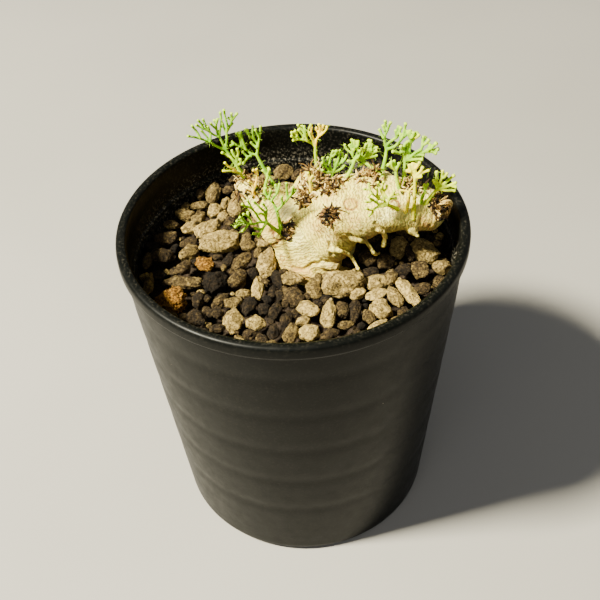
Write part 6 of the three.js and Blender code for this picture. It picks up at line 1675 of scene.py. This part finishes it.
FINE_STRANDS = 9
STRAND_SWIRL = 0.17
# Steps along a strand, and its thickness at the foot and at the tip.
LONG_STRAND_SHAPE = (11, 0.24, 0.1)
FINE_STRAND_SHAPE = (9, 0.13, 0.06)
STUB_SHAPE = (5, 0.34, 0.16)
STUB_DEPTH = 0.4
SCALE_LIFT = 0.16
SCALE_SHORTEST = 0.7
SCALE_THINNEST = 0.16
SCALE_STEPS = 7
CURL_RADIUS = 0.3
CURL_STEP = 0.25
DRY_TONES = ((0.0, "120b04"), (0.3, "2c1e0b"), (0.55, "664a1e"), (0.8, "a8863e"), (1, "dcc880"))
# The withered shoot's curl at the limb's end.
END_CURLS = [
    [(30.4, -3.0, 14.9), (31.2, -3.1, 15.9), (32.2, -3.0, 16.1), (33.0, -2.6, 15.4), (33.1, -2.3, 14.3),
     (32.4, -2.4, 13.6)],
    [(31.0, -2.0, 14.8), (32.0, -2.2, 15.2), (32.7, -2.4, 14.4), (32.8, -2.6, 13.2), (32.2, -3.0, 12.2),
     (31.0, -3.6, 11.8)],
    [(29.0, -4.4, 12.6), (30.2, -4.5, 13.0), (31.4, -4.0, 12.8), (32.3, -3.2, 12.0)],
]


def tuft_strands(at, aim, count, length, core, seed, scale_count, strewn, darker):
    """A tuft's long strands, finer ones between, short stubs, and scales on the skin round it."""
    draw = seeded(seed)
    strands = Strands()
    at, aim = np.array(at, float), Vector(aim).normalized()
    side = Vector((0.4, 0.8, 0.3)).cross(aim).normalized()

    def leaning(lean, round_turn):
        return np.array(Matrix.Rotation(round_turn, 3, aim) @ Matrix.Rotation(lean, 3, side) @ aim)

    def curled(start, way, length, rise, steps, thick, thin, tone, curl):
        t = np.linspace(0, 1, steps)
        swirl = np.cross(way, (0.3, 0.5, 0.8))
        swirl /= np.linalg.norm(swirl)
        other = np.cross(way, swirl)
        turn = 2 * math.pi * (draw() + curl * t)
        wide = STRAND_SWIRL * length * t
        path = start + (t * length)[:, None] * way + (wide * np.cos(turn))[:, None] * swirl
        path = path + (wide * np.sin(turn))[:, None] * other
        path[:, 2] += rise * t**2
        strands.add(path, thick + (thin - thick) * t, tone - darker, draw())

    for i in range(count):
        round_turn = 2 * math.pi * (i + 0.5 * draw()) / count
        lean = math.radians(DRY_SPREAD * (0.25 + 0.75 * draw()))
        way = leaning(lean, round_turn)
        reach = length * (0.45 + 0.55 * draw())
        rise = reach * DRY_BEND * (draw() - 0.35)
        curled(at, way, reach, rise, *LONG_STRAND_SHAPE, draw(), 0.8 + 0.6 * draw())
    for i in range(FINE_STRANDS):
        way = leaning(math.radians(20 + 60 * draw()), 2 * math.pi * draw())
        reach = length * (0.4 + 0.5 * draw())
        rise = reach * 0.5 * (draw() - 0.5)
        curled(at, way, reach, rise, *FINE_STRAND_SHAPE, 0.5 + 0.5 * draw(), 1.6)
    for i in range(STUBS_PER_CORE):
        way = leaning(math.radians(100 * draw() ** 0.6), 2 * math.pi * draw())
        foot = at - STUB_DEPTH * core * np.array(aim)
        curled(foot, way, core * (0.8 + 0.4 * draw()), 0, *STUB_SHAPE, 0.7 * draw(), 0.4)

    away = [strewn * math.sqrt(draw()) for _ in range(scale_count)]
    spots = np.array([at + reach * leaning(math.pi / 2, 2 * math.pi * draw()) for reach in away])
    for _ in range(4):
        off, ways = slopes(stem_field, spots)
        spots = spots - off[:, None] * ways
    for spot, out in zip(spots, ways):
        flat = np.cross(out, np.array([draw() - 0.5, draw() - 0.5, draw() - 0.5]))
        flat /= np.linalg.norm(flat)
        across = np.cross(out, flat)
        reach = SCALE_SHORTEST + 1.5 * draw() ** 1.5
        bend = 2.6 * (draw() - 0.5)
        lift = 0.1 + 0.9 * draw() ** 2
        t = np.linspace(0, 1, SCALE_STEPS)
        path = spot + SCALE_LIFT * out + reach * ((t - 0.4)[:, None] * flat + (lift * t**2)[:, None] * out)
        path = path + (reach * 0.4 * bend * t * (1 - t))[:, None] * across
        thick = (SCALE_THINNEST + 0.2 * draw()) * np.sin(np.pi * (0.12 + 0.8 * t)) ** 0.8
        strands.add(path, thick, draw() ** 1.1 - darker, draw())
    return strands


def tuft_tree(material):
    tree, given, result = new_tree("dry_tuft", sides=int)
    smooth = node(tree, "GeometryNodeSetShadeSmooth", {"Geometry": strand_tubes(tree, given)}).outputs[0]
    tree.links.new(coated(tree, realized(tree, smooth), material), result["Geometry"])
    return tree


def dry_finish():
    material, tree, shader, where = finish("dry_stalk", roughness=0.8, specular_ior_level=0.2)
    fine = cloudy(tree, where, 3.5, 4, 0.65)
    tone = reckoned(tree, "ADD", read(tree, "tone"), levelled(tree, fine, 0.3, 0.7, -0.25, 0.25))
    tree.links.new(ramped(tree, tone, DRY_TONES), shader.inputs["Base Color"])
    raised(tree, shader, fine, 0.08, 0.8)
    return material


tuft_nodes = tuft_tree(dry_finish())
for name, at, aim, count, length, core, seed, scale_count, strewn in DRY_TUFTS:
    strands = tuft_strands(at, aim, count, length, core, seed, scale_count, strewn, DARKER_TUFTS.get(name, 0))
    if name == "end":
        for i, curl in enumerate(END_CURLS):
            strands.add(flowing(curl, CURL_STEP), CURL_RADIUS, 0.85 - 0.2 * i, 0.5)
    tuft = strands.mesh(name + "_dry_tuft", "tone", "grain")
    grown(tuft, tuft_nodes, sides=STRAND_SIDES)
    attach(tuft, BODY)
    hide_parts("dry_tuft_" + name)

# The floor and the light
# A plain pale floor that reaches far past the pot. A small lamp stands high on the left, and weaker,
# larger ones at the front and the right, under a dim even sky.

FLOOR_REACH = 3000
FLOOR_TONES = ((0.3, "8a8781"), (0.7, "8f8c86"))
LAMPS_AIM = (0, 0, 0.06)
SKY_COLOUR = "d6dadd"
SKY_STRENGTH = 0.32

floor_corners = [(x * FLOOR_REACH, y * FLOOR_REACH, 0) for x, y in ((-1, -1), (1, -1), (1, 1), (-1, 1))]
floor = made("floor", floor_corners, [(0, 1, 2, 3)])
floor_material, floor_tree, floor_shader, floor_where = finish("pale_floor", roughness=0.7)
floor_tone = ramped(floor_tree, cloudy(floor_tree, floor_where, 0.01, 2), FLOOR_TONES)
floor_tree.links.new(floor_tone, floor_shader.inputs["Base Color"])
floor.data.materials.append(floor_material)


def lamp(name, towards, distance, size, power, colour="ffffff"):
    """A square soft lamp that looks at the plant from the given side; distance and size in metres."""
    data = bpy.data.lights.new(name, "AREA")
    data.size = size
    data.energy = power
    data.color = shade(colour)[:3]
    light = bpy.data.objects.new(name, data)
    bpy.context.scene.collection.objects.link(light)
    way = Vector(towards).normalized()
    facing = way.to_track_quat("Z", "Y").to_matrix().to_4x4()
    light.matrix_world = Matrix.Translation(Vector(LAMPS_AIM) + way * distance) @ facing


lamp("key_lamp", (-0.58, -0.17, 0.79), 0.9, 0.12, 60, "fff9e0")
lamp("front_lamp", (-0.2, -0.75, 0.6), 1.1, 0.9, 3.2)
lamp("right_lamp", (0.9, 0.3, 0.5), 1.1, 0.6, 0.5)
world = bpy.data.worlds.new("studio")
world.use_nodes = True
sky = world.node_tree.nodes["Background"].inputs
sky["Color"].default_value = shade(SKY_COLOUR)
sky["Strength"].default_value = SKY_STRENGTH
bpy.context.scene.world = world
